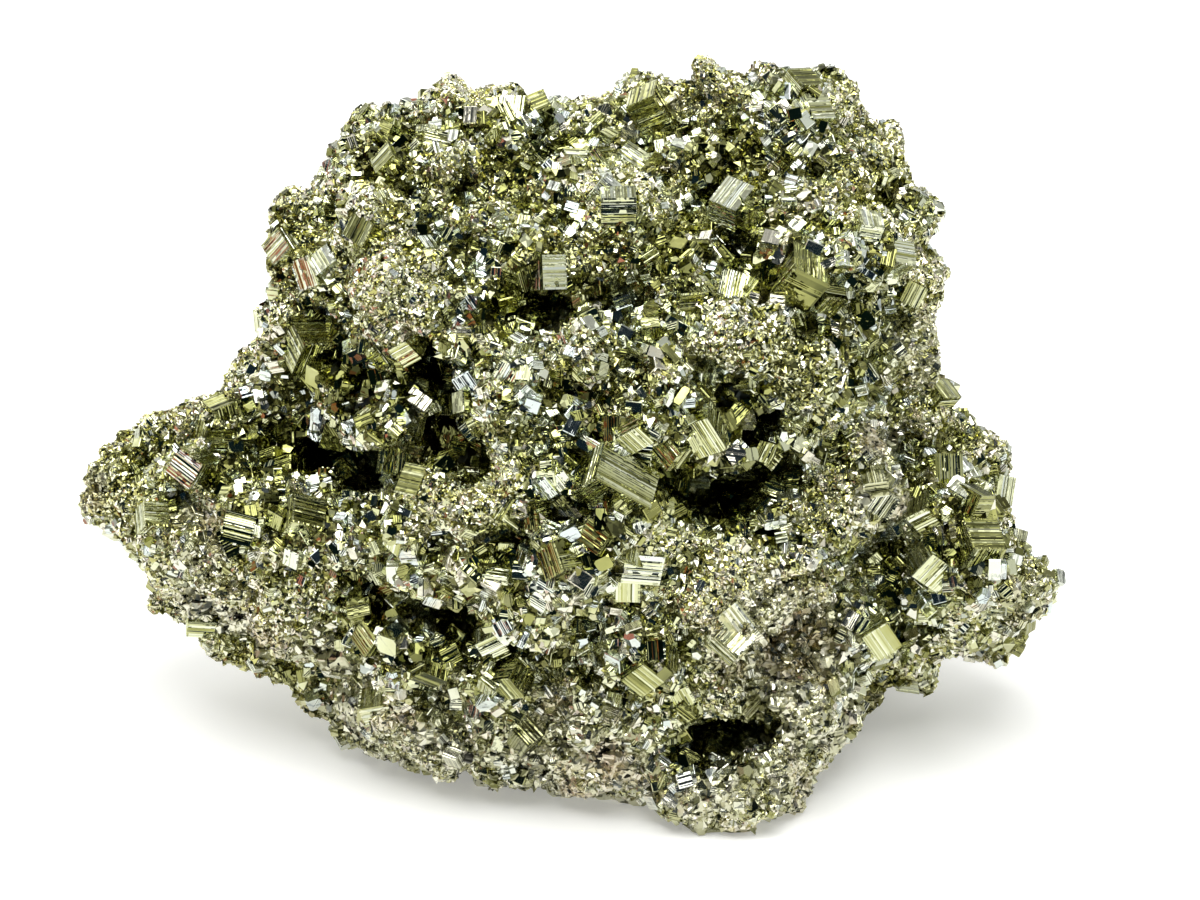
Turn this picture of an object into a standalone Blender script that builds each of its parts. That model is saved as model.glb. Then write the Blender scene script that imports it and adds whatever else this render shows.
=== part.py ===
"""Pyrite crystal cluster: one intergrown mass of cubes and pyritohedra that rests on its broken base.

Metres, +Z up. The crystal face looks along -Y, and the origin is on the base, under the middle of the cluster.
The mass is built in the order in which such a lump reads: rounded cores, knobbly lumps over them, hollows cut
into them, a rugged skin, then the crystals that stand out of the skin, and a flat base, all of it one solid.
"""

import math
import random

import bmesh
import bpy
from mathutils import Euler, Matrix, Quaternion, Vector
from mathutils.bvhtree import BVHTree

MM = 0.001
SEED = 26

# The crystal face is laid out as it looks from this far above the horizon: "across" and "rise" are
# millimetres in that view, and "forward" is how far a point stands in front of the middle of the base.
SIGHT_DEG = 25.0
SIGHT = Vector((0.0, math.cos(math.radians(SIGHT_DEG)), -math.sin(math.radians(SIGHT_DEG))))

# (centre x, y, z), (radii x, y, z)
CORES = (
    ((6, 2, 50), (48, 42, 47)),  # the main mass
    ((34, 8, 80), (23, 26, 23)),  # upper right shoulder
    ((-20, 10, 80), (21, 24, 21)),  # upper left shoulder
    ((8, 2, 17), (47, 39, 24)),  # what it rests on
    ((8, -19, 14), (41, 19, 16)),  # foot of the crystal face
    ((35, -2, 22), (20, 26, 20)),  # lower right flank
    ((25, -26, 9), (18, 14, 11)),  # toe under the lowest hollow
    ((-8, -14, 26), (30, 21, 20)),  # swelling below the middle of the crystal face
    ((-36, 0, 34), (26, 26, 20)),  # lower left flank
    ((-56, 2, 37), (18, 18, 11)),  # spur to the left
    ((60, 0, 33), (14, 22, 15)),  # spur to the right
)

# (across, rise, forward, radius) of the lumps that make the outline, clockwise from the upper left
RIM_LUMPS = (
    (-28, 92, -10, 7.0),
    (-18, 96.5, -12, 7.0),
    (-11, 95.5, -14, 6.8),
    (-2, 93, -16, 7.0),
    (6, 94, -16, 7.5),
    (14, 97, -16, 7.5),
    (22, 102.5, -14, 4.3),
    (32, 98, -14, 8.5),
    (41, 97, -12, 7.5),
    (47, 92, -10, 6.3),
    (51, 87, -6, 6.3),
    (53, 80, -2, 6.5),
    (54.5, 71, 0, 6.3),
    (53.5, 61, 2, 6.6),
    (55.5, 52, 2, 6.4),
    (63.5, 42, 0, 7.3),
    (65, 32, 4, 7.0),
    (72.5, 21, 4, 8.0),
    (69, 16.5, -4, 7.0),
    (62, 19, 8, 7.6),
    (55, 12.5, 6, 7.0),
    (45, 5, 6, 7.0),
    (39, -1, 20, 7.0),
    (39, -4, 23, 6.0),
    (33, -9, 33, 6.5),
    (27, -10.5, 36, 6.8),
    (20, -9.5, 35, 6.5),
    (15, -6.5, 31, 6.3),
    (6, -5.5, 28, 6.3),
    (-4, -3.5, 24, 6.6),
    (-14, -1.5, 20, 6.6),
    (-23, -1.5, 19, 6.3),
    (-28, 0, 16, 6.3),
    (-32, 3.5, 12, 6.6),
    (-38, 8, 8, 7.0),
    (-46, 12, 6, 7.3),
    (-54, 16.5, 4, 7.3),
    (-61, 22, 2, 7.3),
    (-65, 31, 2, 7.3),
    (-72, 38, 0, 6.3),
    (-67, 42, -4, 7.0),
    (-62, 44.5, -2, 6.5),
    (-53, 46, 0, 8.0),
    (-46, 55, 0, 7.3),
    (-42, 64, 2, 6.8),
    (-41, 73, 0, 6.4),
    (-41, 79, -2, 6.4),
    (-31, 85, -4, 7.0),
)

# (across, rise, radius, how deep its centre lies in radii) of the lumps on the crystal face, each of them
# seated where its sight line meets the cores
FACE_LUMPS = (
    (-23, 68, 9.0, -0.2),
    (-12, 90, 7.0, 0.0),
    (-29, 80, 6.5, 0.0),
    (-13, 79, 5.5, 0.0),
    (-20, 88, 5.5, 0.2),
    (-30, 90, 5.0, 0.2),
    (1, 84, 6.0, 0.0),
    (-4, 75, 5.0, 0.0),
    (10, 78, 7.0, -0.1),
    (7, 91, 5.5, 0.2),
    (19, 88, 6.0, 0.1),
    (24, 96, 5.0, 0.1),
    (35, 95, 7.5, 0.0),
    (47, 88, 5.5, 0.2),
    (28, 60, 8.0, -0.2),
    (46, 76, 7.0, 0.0),
    (37, 72, 6.0, 0.0),
    (17, 70, 5.0, 0.0),
    (43, 62, 5.5, 0.2),
    (39, 54, 6.5, 0.0),
    (5, 60, 5.5, 0.0),
    (-7, 53, 6.0, 0.0),
    (14, 50, 6.0, -0.1),
    (16, 60, 5.5, 0.2),
    (-14, 37, 6.5, -0.1),
    (-21, 35, 5.5, -0.1),
    (-6, 37, 5.5, -0.1),
    (-12, 27, 6.5, 0.1),
    (-22, 26, 6.0, 0.1),
    (-6, 20, 6.5, 0.1),
    (-45, 52, 6.5, 0.2),
    (-40, 61, 6.0, 0.1),
    (-34, 56, 5.5, 0.1),
    (-48, 33, 7.5, 0.2),
    (-41, 44, 5.0, 0.2),
    (-39, 30, 6.5, 0.1),
    (-30, 30, 6.0, 0.1),
    (-31, 22, 5.5, 0.3),
    (-56, 26, 6.5, 0.3),
    (1, 28, 6.5, -0.1),
    (9, 34, 5.5, -0.1),
    (-24, 14, 6.0, 0.3),
    (12, 13, 8.0, 0.1),
    (26, 20, 9.5, 0.1),
    (38, 27, 7.5, 0.0),
    (46, 38, 8.5, 0.1),
    (46, 16, 7.0, 0.3),
    (62, 34, 6.5, 0.1),
    (65, 26, 6.0, 0.1),
    (58, 42, 5.0, 0.1),
    (-10, 8, 8.0, 0.4),
    (-26, 4, 7.0, 0.4),
    (15, 3, 6.0, 0.2),
    (33, 2, 6.0, 0.1),
    (24, 8, 5.5, 0.1),
    (3, 3, 7.0, 0.4),
    (37, 4, 7.0, 0.2),
    (-60, 40, 6.0, 0.2),
    (-67, 35, 5.0, 0.2),
    (-34, 67, 5.5, 0.2),
    (-35, 74, 5.5, 0.2),
)

# (across, rise, half width, half height, depth, tilt in degrees) of the hollows in the crystal face
HOLLOWS = (
    (-39, 43, 5.0, 4.0, 14, -20),
    (-32, 41, 6.5, 4.5, 18, 5),
    (-24, 43, 6.5, 3.6, 16, 25),
    (-18, 50, 3.2, 6.0, 14, -15),
    (-22, 57, 3.6, 5.0, 12, 20),
    (-15, 43, 3.5, 5.5, 13, 35),
    (18, 38, 4.5, 3.6, 14, -10),
    (25, 36, 7.0, 4.6, 18, -6),
    (33, 39, 4.5, 4.0, 13, 20),
    (31, 48, 5.0, 3.0, 11, 25),
    (20, -2, 4.0, 3.4, 12, 20),
    (26, -2, 5.5, 4.6, 14, 0),
    (33, 0, 3.6, 3.4, 11, -15),
    (-16, 17, 4.5, 3.0, 13, 10),
    (-23, 20, 4.5, 2.6, 10, -15),
    (-31, 17, 3.5, 2.6, 9, 0),
    (-9, 65, 4.0, 2.6, 10, -25),
    (-1, 66, 4.5, 3.4, 12, 10),
    (7, 66, 4.0, 2.6, 10, -15),
    (12, 69, 2.6, 3.4, 8, 10),
    (24, 84, 3.6, 3.0, 9, 20),
    (26, 77, 2.6, 3.6, 8, 10),
    (51, 82, 2.6, 3.6, 8, -20),
    (-16, 85, 4.5, 2.2, 8, 10),
    (57, 15, 4.5, 2.6, 8, -15),
    (52, 27, 2.6, 4.5, 8, 10),
    (-1, 10, 5.0, 2.4, 8, 10),
    (2, 36, 3.0, 2.4, 8, 30),
    (-49, 42, 3.0, 2.4, 8, 10),
)

# (across, rise, size, kind, stretch, turn x, y, z in degrees) of the crystals that can be told apart
FACE_CRYSTALS = (
    (36.7, 70.7, 6.6, "cube", 1.0, (20, 30, 10)),
    (31.0, 69.0, 4.6, "cube", 1.0, (20, 30, 10)),
    (41.0, 68.0, 4.4, "cube", 1.0, (35, 20, 30)),
    (43.3, 74.0, 6.0, "pyritohedron", 1.0, (10, 20, 30)),
    (25.8, 69.0, 4.6, "cube", 1.0, (50, 20, 5)),
    (1.7, 89.3, 3.8, "cube", 1.0, (15, 10, 20)),
    (6.2, 90.0, 3.4, "cube", 1.0, (40, 10, 50)),
    (-4.2, 97.7, 5.0, "cube", 1.0, (20, -20, 10)),
    (-40.0, 60.7, 6.5, "cube", 1.1, (25, 10, 30)),
    (-40.8, 33.2, 5.5, "cube", 1.0, (35, 20, 10)),
    (-27.0, 42.3, 4.5, "cube", 1.2, (65, 10, 5)),
    (-24.0, 60.0, 4.0, "cube", 1.0, (25, 50, 5)),
    (8.2, 39.0, 7.0, "cube", 1.5, (40, 35, 10)),
    (-3.0, 32.0, 4.0, "cube", 1.0, (5, 35, 35)),
    (21.7, 47.3, 5.2, "cube", 1.3, (30, 60, 20)),
    (17.0, 44.0, 4.2, "cube", 1.0, (30, 10, 50)),
    (0.0, 27.3, 5.0, "cube", 1.0, (50, 10, 40)),
    (5.8, 30.7, 4.5, "cube", 1.0, (20, 30, 60)),
    (65.8, 29.0, 6.0, "cube", 1.0, (30, 10, 20)),
    (58.3, 25.7, 5.0, "cube", 1.2, (10, 40, 20)),
    (60.8, 40.7, 5.0, "cube", 1.0, (60, 10, 20)),
    (65.0, 35.7, 4.5, "cube", 1.0, (10, 20, 50)),
    (57.5, 34.0, 4.2, "cube", 1.0, (25, 50, 10)),
    (70.0, 22.0, 5.0, "pyritohedron", 1.2, (25, 50, 10)),
    (12.5, 9.8, 5.0, "cube", 1.0, (20, 45, 15)),
    (-30.0, 14.5, 4.5, "cube", 1.0, (30, 10, 45)),
    (-20.8, 9.8, 4.5, "cube", 1.0, (45, 30, 15)),
    (-11.0, 14.0, 4.2, "cube", 1.0, (15, 60, 15)),
    (24.2, -4.0, 4.8, "pyritohedron", 1.0, (0, 20, 10)),
    (-59.2, 41.5, 5.0, "cube", 1.2, (25, 15, 65)),
    (-66.0, 33.0, 4.2, "cube", 1.0, (45, 15, 25)),
    (14.2, 98.0, 5.2, "cube", 1.4, (20, 60, 10)),
    (15.8, 93.0, 4.5, "cube", 1.0, (30, 10, 15)),
    (37.5, 101.0, 4.5, "cube", 1.0, (20, 10, 35)),
    (39.2, 97.0, 4.5, "cube", 1.0, (45, 10, 35)),
    (-27.0, 89.0, 4.2, "cube", 1.0, (15, 40, 25)),
    (-44.0, 76.0, 4.4, "cube", 1.0, (35, 20, 50)),
    (52.0, 74.0, 4.2, "cube", 1.0, (50, 20, 30)),
)
CRYSTAL_GROUPS = 76  # groups of crystals spread over the whole mass by rule
GROUP_SIZES = (2, 2, 3)  # crystals in a group, drawn from these
GROUP_SPREAD = 0.45  # how far apart the crystals of a group stand, in their size
ROUND_CRYSTAL_SIZES = (3.0, 5.2)
ROUND_CUBES = 0.8  # share of them that are cubes

BACK_LUMPS = 230  # places for lumps all round, of which the tables above leave bare about half
BACK_LUMP_RADII = (4.5, 8.5)
BACK_HOLLOWS = 26
BACK_HOLLOW_RADII = (3.0, 5.5)

VOXEL = 1.4
BODY_TRIANGLES = 3650
LEDGE_SIZE, LEDGE_HEIGHT = 6.0, 3.8  # blocky ledges of the skin
GRAIN_SIZE, GRAIN_HEIGHT = 4.0, 2.3
RIM_WEAR = 1  # how far the sharp lips of the hollows are worn, in smoothing steps

PYRITE_COLOUR, PYRITE_ROUGHNESS = (0.62, 0.56, 0.37, 1.0), 0.28


def on_face(across, rise, forward):
    """The point in space, in mm, that is seen at (across, rise) and stands this far forward."""
    slope = math.radians(SIGHT_DEG)
    return Vector((across, -forward, (rise + forward * math.sin(slope)) / math.cos(slope)))


def new_object(name, build):
    """A mesh object that build(bmesh) fills, with sizes in millimetres."""
    bm = bmesh.new()
    build(bm)
    bmesh.ops.scale(bm, vec=(MM, MM, MM), verts=bm.verts)
    bmesh.ops.recalc_face_normals(bm, faces=bm.faces)
    mesh = bpy.data.meshes.new(name)
    bm.to_mesh(mesh)
    bm.free()
    made = bpy.data.objects.new(name, mesh)
    bpy.context.scene.collection.objects.link(made)
    return made


def helper(made):
    """Marks an object that only shapes another one."""
    made.hide_render = True
    made.display_type = "WIRE"
    return made


def settle(made):
    """Applies the object's modifiers, so that the next step starts from the shape that they give."""
    bpy.context.view_layer.update()
    graph = bpy.context.evaluated_depsgraph_get()
    shaped = bpy.data.meshes.new_from_object(made.evaluated_get(graph))
    made.modifiers.clear()
    made.data = shaped
    return made


def fuse_voxels(made):
    """Joins overlapping closed shapes into one skin."""
    remesh = made.modifiers.new("fuse", "REMESH")
    remesh.mode = "VOXEL"
    remesh.voxel_size = VOXEL * MM
    return settle(made)


def combine(made, operation, other):
    """Adds the other closed shape to this one, or takes it away."""
    combined = made.modifiers.new(operation.lower(), "BOOLEAN")
    combined.operation = operation
    combined.solver = "EXACT"
    combined.object = helper(other)
    return settle(made)


def roughen(made, kind, size, height):
    """Pushes the skin in and out by a texture of this grain, in mm."""
    texture = bpy.data.textures.new(kind.lower(), kind)
    texture.noise_scale = size * MM
    displace = made.modifiers.new(kind.lower(), "DISPLACE")
    displace.texture = texture
    displace.texture_coords = "GLOBAL"
    displace.strength = height * MM
    displace.mid_level = 0.5
    return made


def wear(made, steps):
    """Rounds sharp lips off."""
    smooth = made.modifiers.new("wear", "SMOOTH")
    smooth.factor = 0.5
    smooth.iterations = steps
    return made


def keep_outer_skin(made):
    """Fills sealed gaps: only the largest of the closed shells stays."""
    bm = bmesh.new()
    bm.from_mesh(made.data)
    left = set(bm.faces)
    shells = []
    while left:
        shell = {left.pop()}
        edge_of_shell = list(shell)
        while edge_of_shell:
            near = {other for edge in edge_of_shell.pop().edges for other in edge.link_faces} & left
            left -= near
            shell |= near
            edge_of_shell += near
        shells.append(shell)
    shells.sort(key=len)
    bmesh.ops.delete(bm, geom=[face for shell in shells[:-1] for face in shell], context="FACES")
    bm.to_mesh(made.data)
    bm.free()
    return made


def thin_to(made, triangles):
    """Keeps about this many triangles, where they say most about the shape."""
    thin = made.modifiers.new("thin", "DECIMATE")
    thin.ratio = triangles / sum(len(face.vertices) - 2 for face in made.data.polygons)
    thin.use_collapse_triangulate = True
    return settle(made)


def tree_of(made):
    """A tree for casting rays on the object's surface, in metres."""
    bm = bmesh.new()
    bm.from_mesh(made.data)
    tree = BVHTree.FromBMesh(bm)
    bm.free()
    return tree


def seen_at(tree, across, rise):
    """The place and outward normal, in mm, where the sight line at (across, rise) meets the surface.

    A line that passes the mass takes the nearest place to it instead.
    """
    middle = on_face(across, rise, 0) * MM
    place, normal, _, _ = tree.ray_cast(middle - SIGHT * 0.3, SIGHT)
    if not place:
        place, normal, _, _ = tree.find_nearest(middle)
    return place / MM, normal


def from_outside(tree, direction):
    """The place and normal, in mm, where a ray that comes in along -direction first meets the surface."""
    start = (Vector(CORES[0][0]) + direction * 150) * MM
    place, normal, _, _ = tree.ray_cast(start, -direction)
    return (place / MM, normal) if place else (None, None)


def all_round(count, rng):
    """Unit vectors spread evenly over the sphere, apart from its underside."""
    lowest = -0.8
    turn = math.pi * (3 - math.sqrt(5))
    for k in range(count):
        height = 1 - (k + 0.5) / count * (1 - lowest)
        spread = math.sqrt(max(0.0, 1 - height * height))
        angle = k * turn + rng.uniform(-0.3, 0.3)
        yield Vector((spread * math.cos(angle), spread * math.sin(angle), height))


def on_other_sides(tree, count, rng):
    """Places and normals on the sides that the tables of the crystal face leave bare."""
    for direction in all_round(count, rng):
        place, normal = from_outside(tree, direction)
        if place and place.z > 4 and direction.dot(-SIGHT) < -0.3:
            yield place, normal


def add_ball(bm, centre, radii, turn=None, subdivisions=3):
    """An ellipsoid in bm, turned by the matrix turn before it is moved to its centre."""
    place = Matrix.Translation(Vector(centre)) @ (turn or Matrix.Identity(4))
    bmesh.ops.create_icosphere(
        bm,
        subdivisions=subdivisions,
        radius=1.0,
        matrix=place @ Matrix.Diagonal((*radii, 1.0)),
    )


def add_cores(bm):
    for centre, radii in CORES:
        add_ball(bm, centre, radii, subdivisions=4)


def add_lumps(bm, tree, rng):
    """Every lump: the outline's, the crystal face's and, spread by rule, those of the other sides."""
    for across, rise, forward, radius in RIM_LUMPS:
        add_ball(bm, on_face(across, rise, forward), (radius, radius, radius))
    for across, rise, radius, sunk in FACE_LUMPS:
        place, normal = seen_at(tree, across, rise)
        add_ball(bm, place - normal * radius * sunk, (radius, radius, radius))
    for place, normal in on_other_sides(tree, BACK_LUMPS, rng):
        radius = rng.uniform(*BACK_LUMP_RADII)
        add_ball(bm, place - normal * radius * 0.25, (radius, radius, radius))


def add_hollows(bm, tree, rng):
    """Flat ellipsoids that enter the crystal face along the sight line, and rounder ones on the other sides."""
    facing = Vector((0, 1, 0)).rotation_difference(SIGHT).to_matrix().to_4x4()
    for across, rise, half_width, half_height, depth, tilt in HOLLOWS:
        place, _ = seen_at(tree, across, rise)
        turn = facing @ Matrix.Rotation(-math.radians(tilt), 4, "Y")
        add_ball(bm, place, (half_width, depth, half_height), turn)
    for place, _ in on_other_sides(tree, BACK_HOLLOWS, rng):
        radius = rng.uniform(*BACK_HOLLOW_RADII)
        add_ball(bm, place, (radius * 1.6, radius * 1.5, radius))


def build_mass(rng):
    """The mass without its crystals: cores and lumps in one skin, hollows, ledges and grain."""
    cores = fuse_voxels(helper(new_object("cores", add_cores)))
    tree = tree_of(cores)
    mass = new_object("pyrite_cluster", lambda bm: (add_cores(bm), add_lumps(bm, tree, rng)))
    fuse_voxels(mass)
    tree = tree_of(mass)
    hollows = new_object("hollows", lambda bm: add_hollows(bm, tree, rng))
    roughen(fuse_voxels(hollows), "CLOUDS", GRAIN_SIZE * 2, GRAIN_HEIGHT * 2)
    combine(mass, "DIFFERENCE", fuse_voxels(hollows))
    wear(fuse_voxels(mass), RIM_WEAR)
    roughen(mass, "VORONOI", LEDGE_SIZE, LEDGE_HEIGHT)
    roughen(mass, "CLOUDS", GRAIN_SIZE, GRAIN_HEIGHT)
    return thin_to(keep_outer_skin(fuse_voxels(mass)), BODY_TRIANGLES)


def cube_corners():
    return [Vector((x, y, z)) for x in (-1, 1) for y in (-1, 1) for z in (-1, 1)]


def pyritohedron_corners():
    """The twenty corners of the twelve-sided crystal that is pyrite's own, in a cube of half side 1."""
    h = 0.5
    corners = [corner / (1 + h) for corner in cube_corners()]
    for a in (-1, 1):
        for b in (-1, 1):
            tip, side = a, b * (1 - h * h) / (1 + h)
            corners += [Vector((0, tip, side)), Vector((tip, side, 0)), Vector((side, 0, tip))]
    return corners


CORNERS = {"cube": cube_corners(), "pyritohedron": pyritohedron_corners()}


def new_crystal(kind, centre, size, turn, stretch):
    """A crystal with flat faces, size mm across and long in its own X by stretch."""

    def add(bm):
        half = size / 2
        made = [bm.verts.new(centre + turn @ Vector((c.x * stretch, c.y, c.z)) * half) for c in CORNERS[kind]]
        bmesh.ops.convex_hull(bm, input=made)
        bmesh.ops.dissolve_limit(bm, angle_limit=math.radians(1), verts=bm.verts, edges=bm.edges)

    return helper(new_object("crystal", add))


def degrees(x, y, z):
    return Euler((math.radians(x), math.radians(y), math.radians(z))).to_quaternion()


def any_turn(rng):
    """A turn that favours no direction."""
    axis = Vector((rng.gauss(0, 1), rng.gauss(0, 1), rng.gauss(0, 1))).normalized()
    return Quaternion(axis, rng.uniform(0, math.pi))


def build_crystals(mass, rng):
    """Crystals that stand out of the skin: those of the crystal face one by one, the rest by rule."""
    tree = tree_of(mass)
    crystals = bpy.data.collections.new("crystals")
    for across, rise, size, kind, stretch, turn in FACE_CRYSTALS:
        place, _ = seen_at(tree, across, rise)
        centre = place + SIGHT * size * 0.1
        crystals.objects.link(new_crystal(kind, centre, size, degrees(*turn), stretch))
    for direction in all_round(CRYSTAL_GROUPS, rng):
        place, normal = from_outside(tree, direction)
        if place.z < 4:
            continue
        along = normal.orthogonal().normalized()
        for _ in range(rng.choice(GROUP_SIZES)):
            size = rng.uniform(*ROUND_CRYSTAL_SIZES)
            kind = "cube" if rng.random() < ROUND_CUBES else "pyritohedron"
            along.rotate(Quaternion(normal, rng.uniform(1.5, 3.0)))
            centre = place + along * size * GROUP_SPREAD - normal * size * rng.uniform(0.15, 0.4)
            crystals.objects.link(new_crystal(kind, centre, size, any_turn(rng), rng.uniform(1.0, 1.3)))
    return crystals


def join_crystals(mass, crystals):
    """Joins the crystals to the mass and to each other, so that all of it is one solid."""
    join = mass.modifiers.new("join", "BOOLEAN")
    join.operation = "UNION"
    join.solver = "EXACT"
    join.operand_type = "COLLECTION"
    join.collection = crystals
    return settle(mass)


def add_ground(bm):
    """A block that reaches up to the height of the base."""
    bmesh.ops.create_cube(bm, size=1.0, matrix=Matrix.Translation((0, 0, -50)) @ Matrix.Diagonal((300, 300, 100, 1)))


def centre_on_base(made):
    """Puts the origin on the base, under the middle of the bounding box."""
    xs, ys, zs = zip(*(vertex.co for vertex in made.data.vertices))
    shift = Vector((-(min(xs) + max(xs)) / 2, -(min(ys) + max(ys)) / 2, -min(zs)))
    made.data.transform(Matrix.Translation(shift))


def pyrite():
    """Pale brass metal."""
    material = bpy.data.materials.new("pyrite")
    material.use_nodes = True
    surface = material.node_tree.nodes["Principled BSDF"]
    surface.inputs["Base Color"].default_value = PYRITE_COLOUR
    surface.inputs["Metallic"].default_value = 1.0
    surface.inputs["Roughness"].default_value = PYRITE_ROUGHNESS
    return material


def main():
    for old in list(bpy.data.objects):
        bpy.data.objects.remove(old)
    rng = random.Random(SEED)
    mass = build_mass(rng)
    join_crystals(mass, build_crystals(mass, rng))
    combine(mass, "DIFFERENCE", new_object("ground", add_ground))
    centre_on_base(keep_outer_skin(mass))
    mass.data.materials.clear()
    mass.data.materials.append(pyrite())


main()
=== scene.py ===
"""Pyrite crystal cluster, dressed: druse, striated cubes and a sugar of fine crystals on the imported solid.

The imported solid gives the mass, its hollows and its coarse cubes. Its place is kept, and everything here is
grown on it: a skin that carries the relief between crystals, the coarse cubes with the steps that pyrite has
on its faces, and smaller crystals, from whole cubes down to cube corners that just stand out of the skin.
Sizes are millimetres unless a comment says otherwise, and meshes are written in metres.
"""

from __future__ import annotations

import logging
import math
from dataclasses import dataclass, field, replace
from enum import Enum
from itertools import permutations, product
from typing import Iterable, Sequence

import bpy
import numpy as np
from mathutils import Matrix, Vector, kdtree


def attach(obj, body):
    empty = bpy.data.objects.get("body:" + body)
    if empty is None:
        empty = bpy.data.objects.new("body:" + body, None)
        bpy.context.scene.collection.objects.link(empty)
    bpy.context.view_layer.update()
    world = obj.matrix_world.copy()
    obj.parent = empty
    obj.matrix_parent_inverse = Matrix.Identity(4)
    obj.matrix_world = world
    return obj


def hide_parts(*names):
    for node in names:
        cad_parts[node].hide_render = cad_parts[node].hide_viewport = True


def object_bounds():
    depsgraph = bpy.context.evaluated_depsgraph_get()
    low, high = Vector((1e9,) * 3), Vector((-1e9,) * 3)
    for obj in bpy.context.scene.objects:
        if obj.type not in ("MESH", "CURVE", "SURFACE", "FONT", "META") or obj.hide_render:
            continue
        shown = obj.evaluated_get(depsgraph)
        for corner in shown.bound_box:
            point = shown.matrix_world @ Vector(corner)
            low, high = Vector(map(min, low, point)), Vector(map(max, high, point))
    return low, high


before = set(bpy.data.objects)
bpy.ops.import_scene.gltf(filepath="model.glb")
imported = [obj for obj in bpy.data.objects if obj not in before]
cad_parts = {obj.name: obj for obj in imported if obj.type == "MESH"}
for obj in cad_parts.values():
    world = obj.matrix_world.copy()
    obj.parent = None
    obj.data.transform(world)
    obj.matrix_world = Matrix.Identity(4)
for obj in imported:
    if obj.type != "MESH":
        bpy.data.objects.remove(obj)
CAD_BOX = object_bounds()

Points = np.ndarray
Chance = np.random.Generator
Tree = bpy.types.NodeTree
Socket = bpy.types.NodeSocket
Stops = Sequence[tuple[float, "str | float"]]  # of a colour ramp: positions with hex colours or greys

LOG = logging.getLogger("pyrite")
NODE = "pyrite_cluster"
BODY = "root"
MM = 0.001
SEED = 11
LETTERS = "abcdef"  # end the names of pieces of one kind

SIGHT_DEG = 25.0  # height of the eye above the horizon when the crystal face is looked at
VIEW_OFFSET = (-0.83, -0.88)  # x and y of the point on the base that across 0, rise 0 is measured from
FACE_MIDDLE = (4.0, 1.0, 47.0)  # what lies nearer to the eye than this point is the crystal face

# Each noise has a number of its own, so that no two of them run alike.
COARSE_NOISE, DULL_NOISE, DEEP_NOISE, KNOB_NOISE, CREASE_NOISE = 3, 8, 12, 20, 40
WAVES = 7  # in each slow noise
WAVE_PACE = (0.35, 0.8)  # waves in the width of a swell
WAVE_SUM = 2.8  # what the waves rarely add up to more than

PATCH_REACH = 1.25  # where a patch has faded out, in its radii
PATCH_EDGE = 2.0  # how quickly it fades toward there

WORN_EDGE = 0.90  # where the face of a cube with worn edges ends, in half widths
CUT_CORNER = 0.68  # where the corner of a cube is cut, in half widths
PYRITOHEDRON_SLOPE = 0.5  # of its faces, a rise of one in two
FACE_SHIFT = 3.7  # sets the faces of a crystal apart in their map
BAKE_REACH = 0.3  # how far a crystal's faces reach from the middle of its cell in the bake map, in cells
BAKE_TURN = 2.4  # turn from one corner of a face to the next in the bake map, in radians

TIP_HEIGHT = 0.577  # of a cube's corner over the plane through the three next to it, in edges
CELL_ROOM = (0.1, 0.9)  # where in its cell a knob's middle may lie

TINY = 1e-6  # what counts as no distance between the corners of a form one unit across
NO_AREA = 1e-12  # keeps a triangle without area from being divided by nothing


def linear(hex_colour: str) -> tuple[float, float, float, float]:
    """Turns an sRGB hex colour into the linear colour that shaders take.

    Args:
        hex_colour: a colour as "#RRGGBB".

    Returns:
        Red, green, blue and an alpha of 1.
    """
    channels = []
    for start in (1, 3, 5):
        value = int(hex_colour[start : start + 2], 16) / 255
        channels.append(value / 12.92 if value <= 0.04045 else ((value + 0.055) / 1.055) ** 2.4)
    return channels[0], channels[1], channels[2], 1.0


def per_metre(size_mm: float) -> float:
    """The texture scale that makes one feature this many millimetres wide."""
    return 1.0 / (size_mm * MM)


def toward_eye(height_deg: float) -> tuple[float, float, float]:
    """The direction to an eye in front of the cluster, this far above the horizon."""
    slope = math.radians(height_deg)
    return 0.0, -math.cos(slope), math.sin(slope)


def seen_from_front(points: Points) -> tuple[Points, Points]:
    """Where points appear on the crystal face.

    Args:
        points: an N by 3 array.

    Returns:
        The distances across and up the face, as it is seen from SIGHT_DEG above the horizon.
    """
    slope = math.radians(SIGHT_DEG)
    across = points[:, 0] - VIEW_OFFSET[0]
    rise = points[:, 2] * math.cos(slope) + (points[:, 1] - VIEW_OFFSET[1]) * math.sin(slope)
    return across, rise


def add_node(tree: Tree, kind: str, inputs: dict | None = None, **settings: object) -> bpy.types.Node:
    """Adds a node, sets it up and feeds its inputs.

    Args:
        tree: the node tree that it goes into.
        kind: the node's type, such as "ShaderNodeTexNoise".
        inputs: for an input's name or number, the output socket that feeds it or the value that it has.
        settings: the stops of a colour ramp, attributes, or values of inputs with _ for a space.

    Returns:
        The new node.
    """
    node = tree.nodes.new(kind)
    fed = dict(inputs or {})
    for name, value in settings.items():
        if name == "stops":
            set_stops(node.color_ramp, value)
        elif hasattr(node, name):
            setattr(node, name, value)
        else:
            fed[name.replace("_", " ")] = value
    for name, value in fed.items():
        if isinstance(value, Socket):
            tree.links.new(value, node.inputs[name])
        else:
            node.inputs[name].default_value = value
    return node


def set_stops(colours: bpy.types.ColorRamp, stops: Stops) -> None:
    """Sets the stops of a colour ramp.

    Args:
        colours: the ramp.
        stops: positions with hex colours, or with single values that become greys.
    """
    while len(colours.elements) < len(stops):
        colours.elements.new(1.0)
    for element, (position, value) in zip(colours.elements, stops):
        element.position = position
        element.color = linear(value) if isinstance(value, str) else (value, value, value, 1.0)


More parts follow.
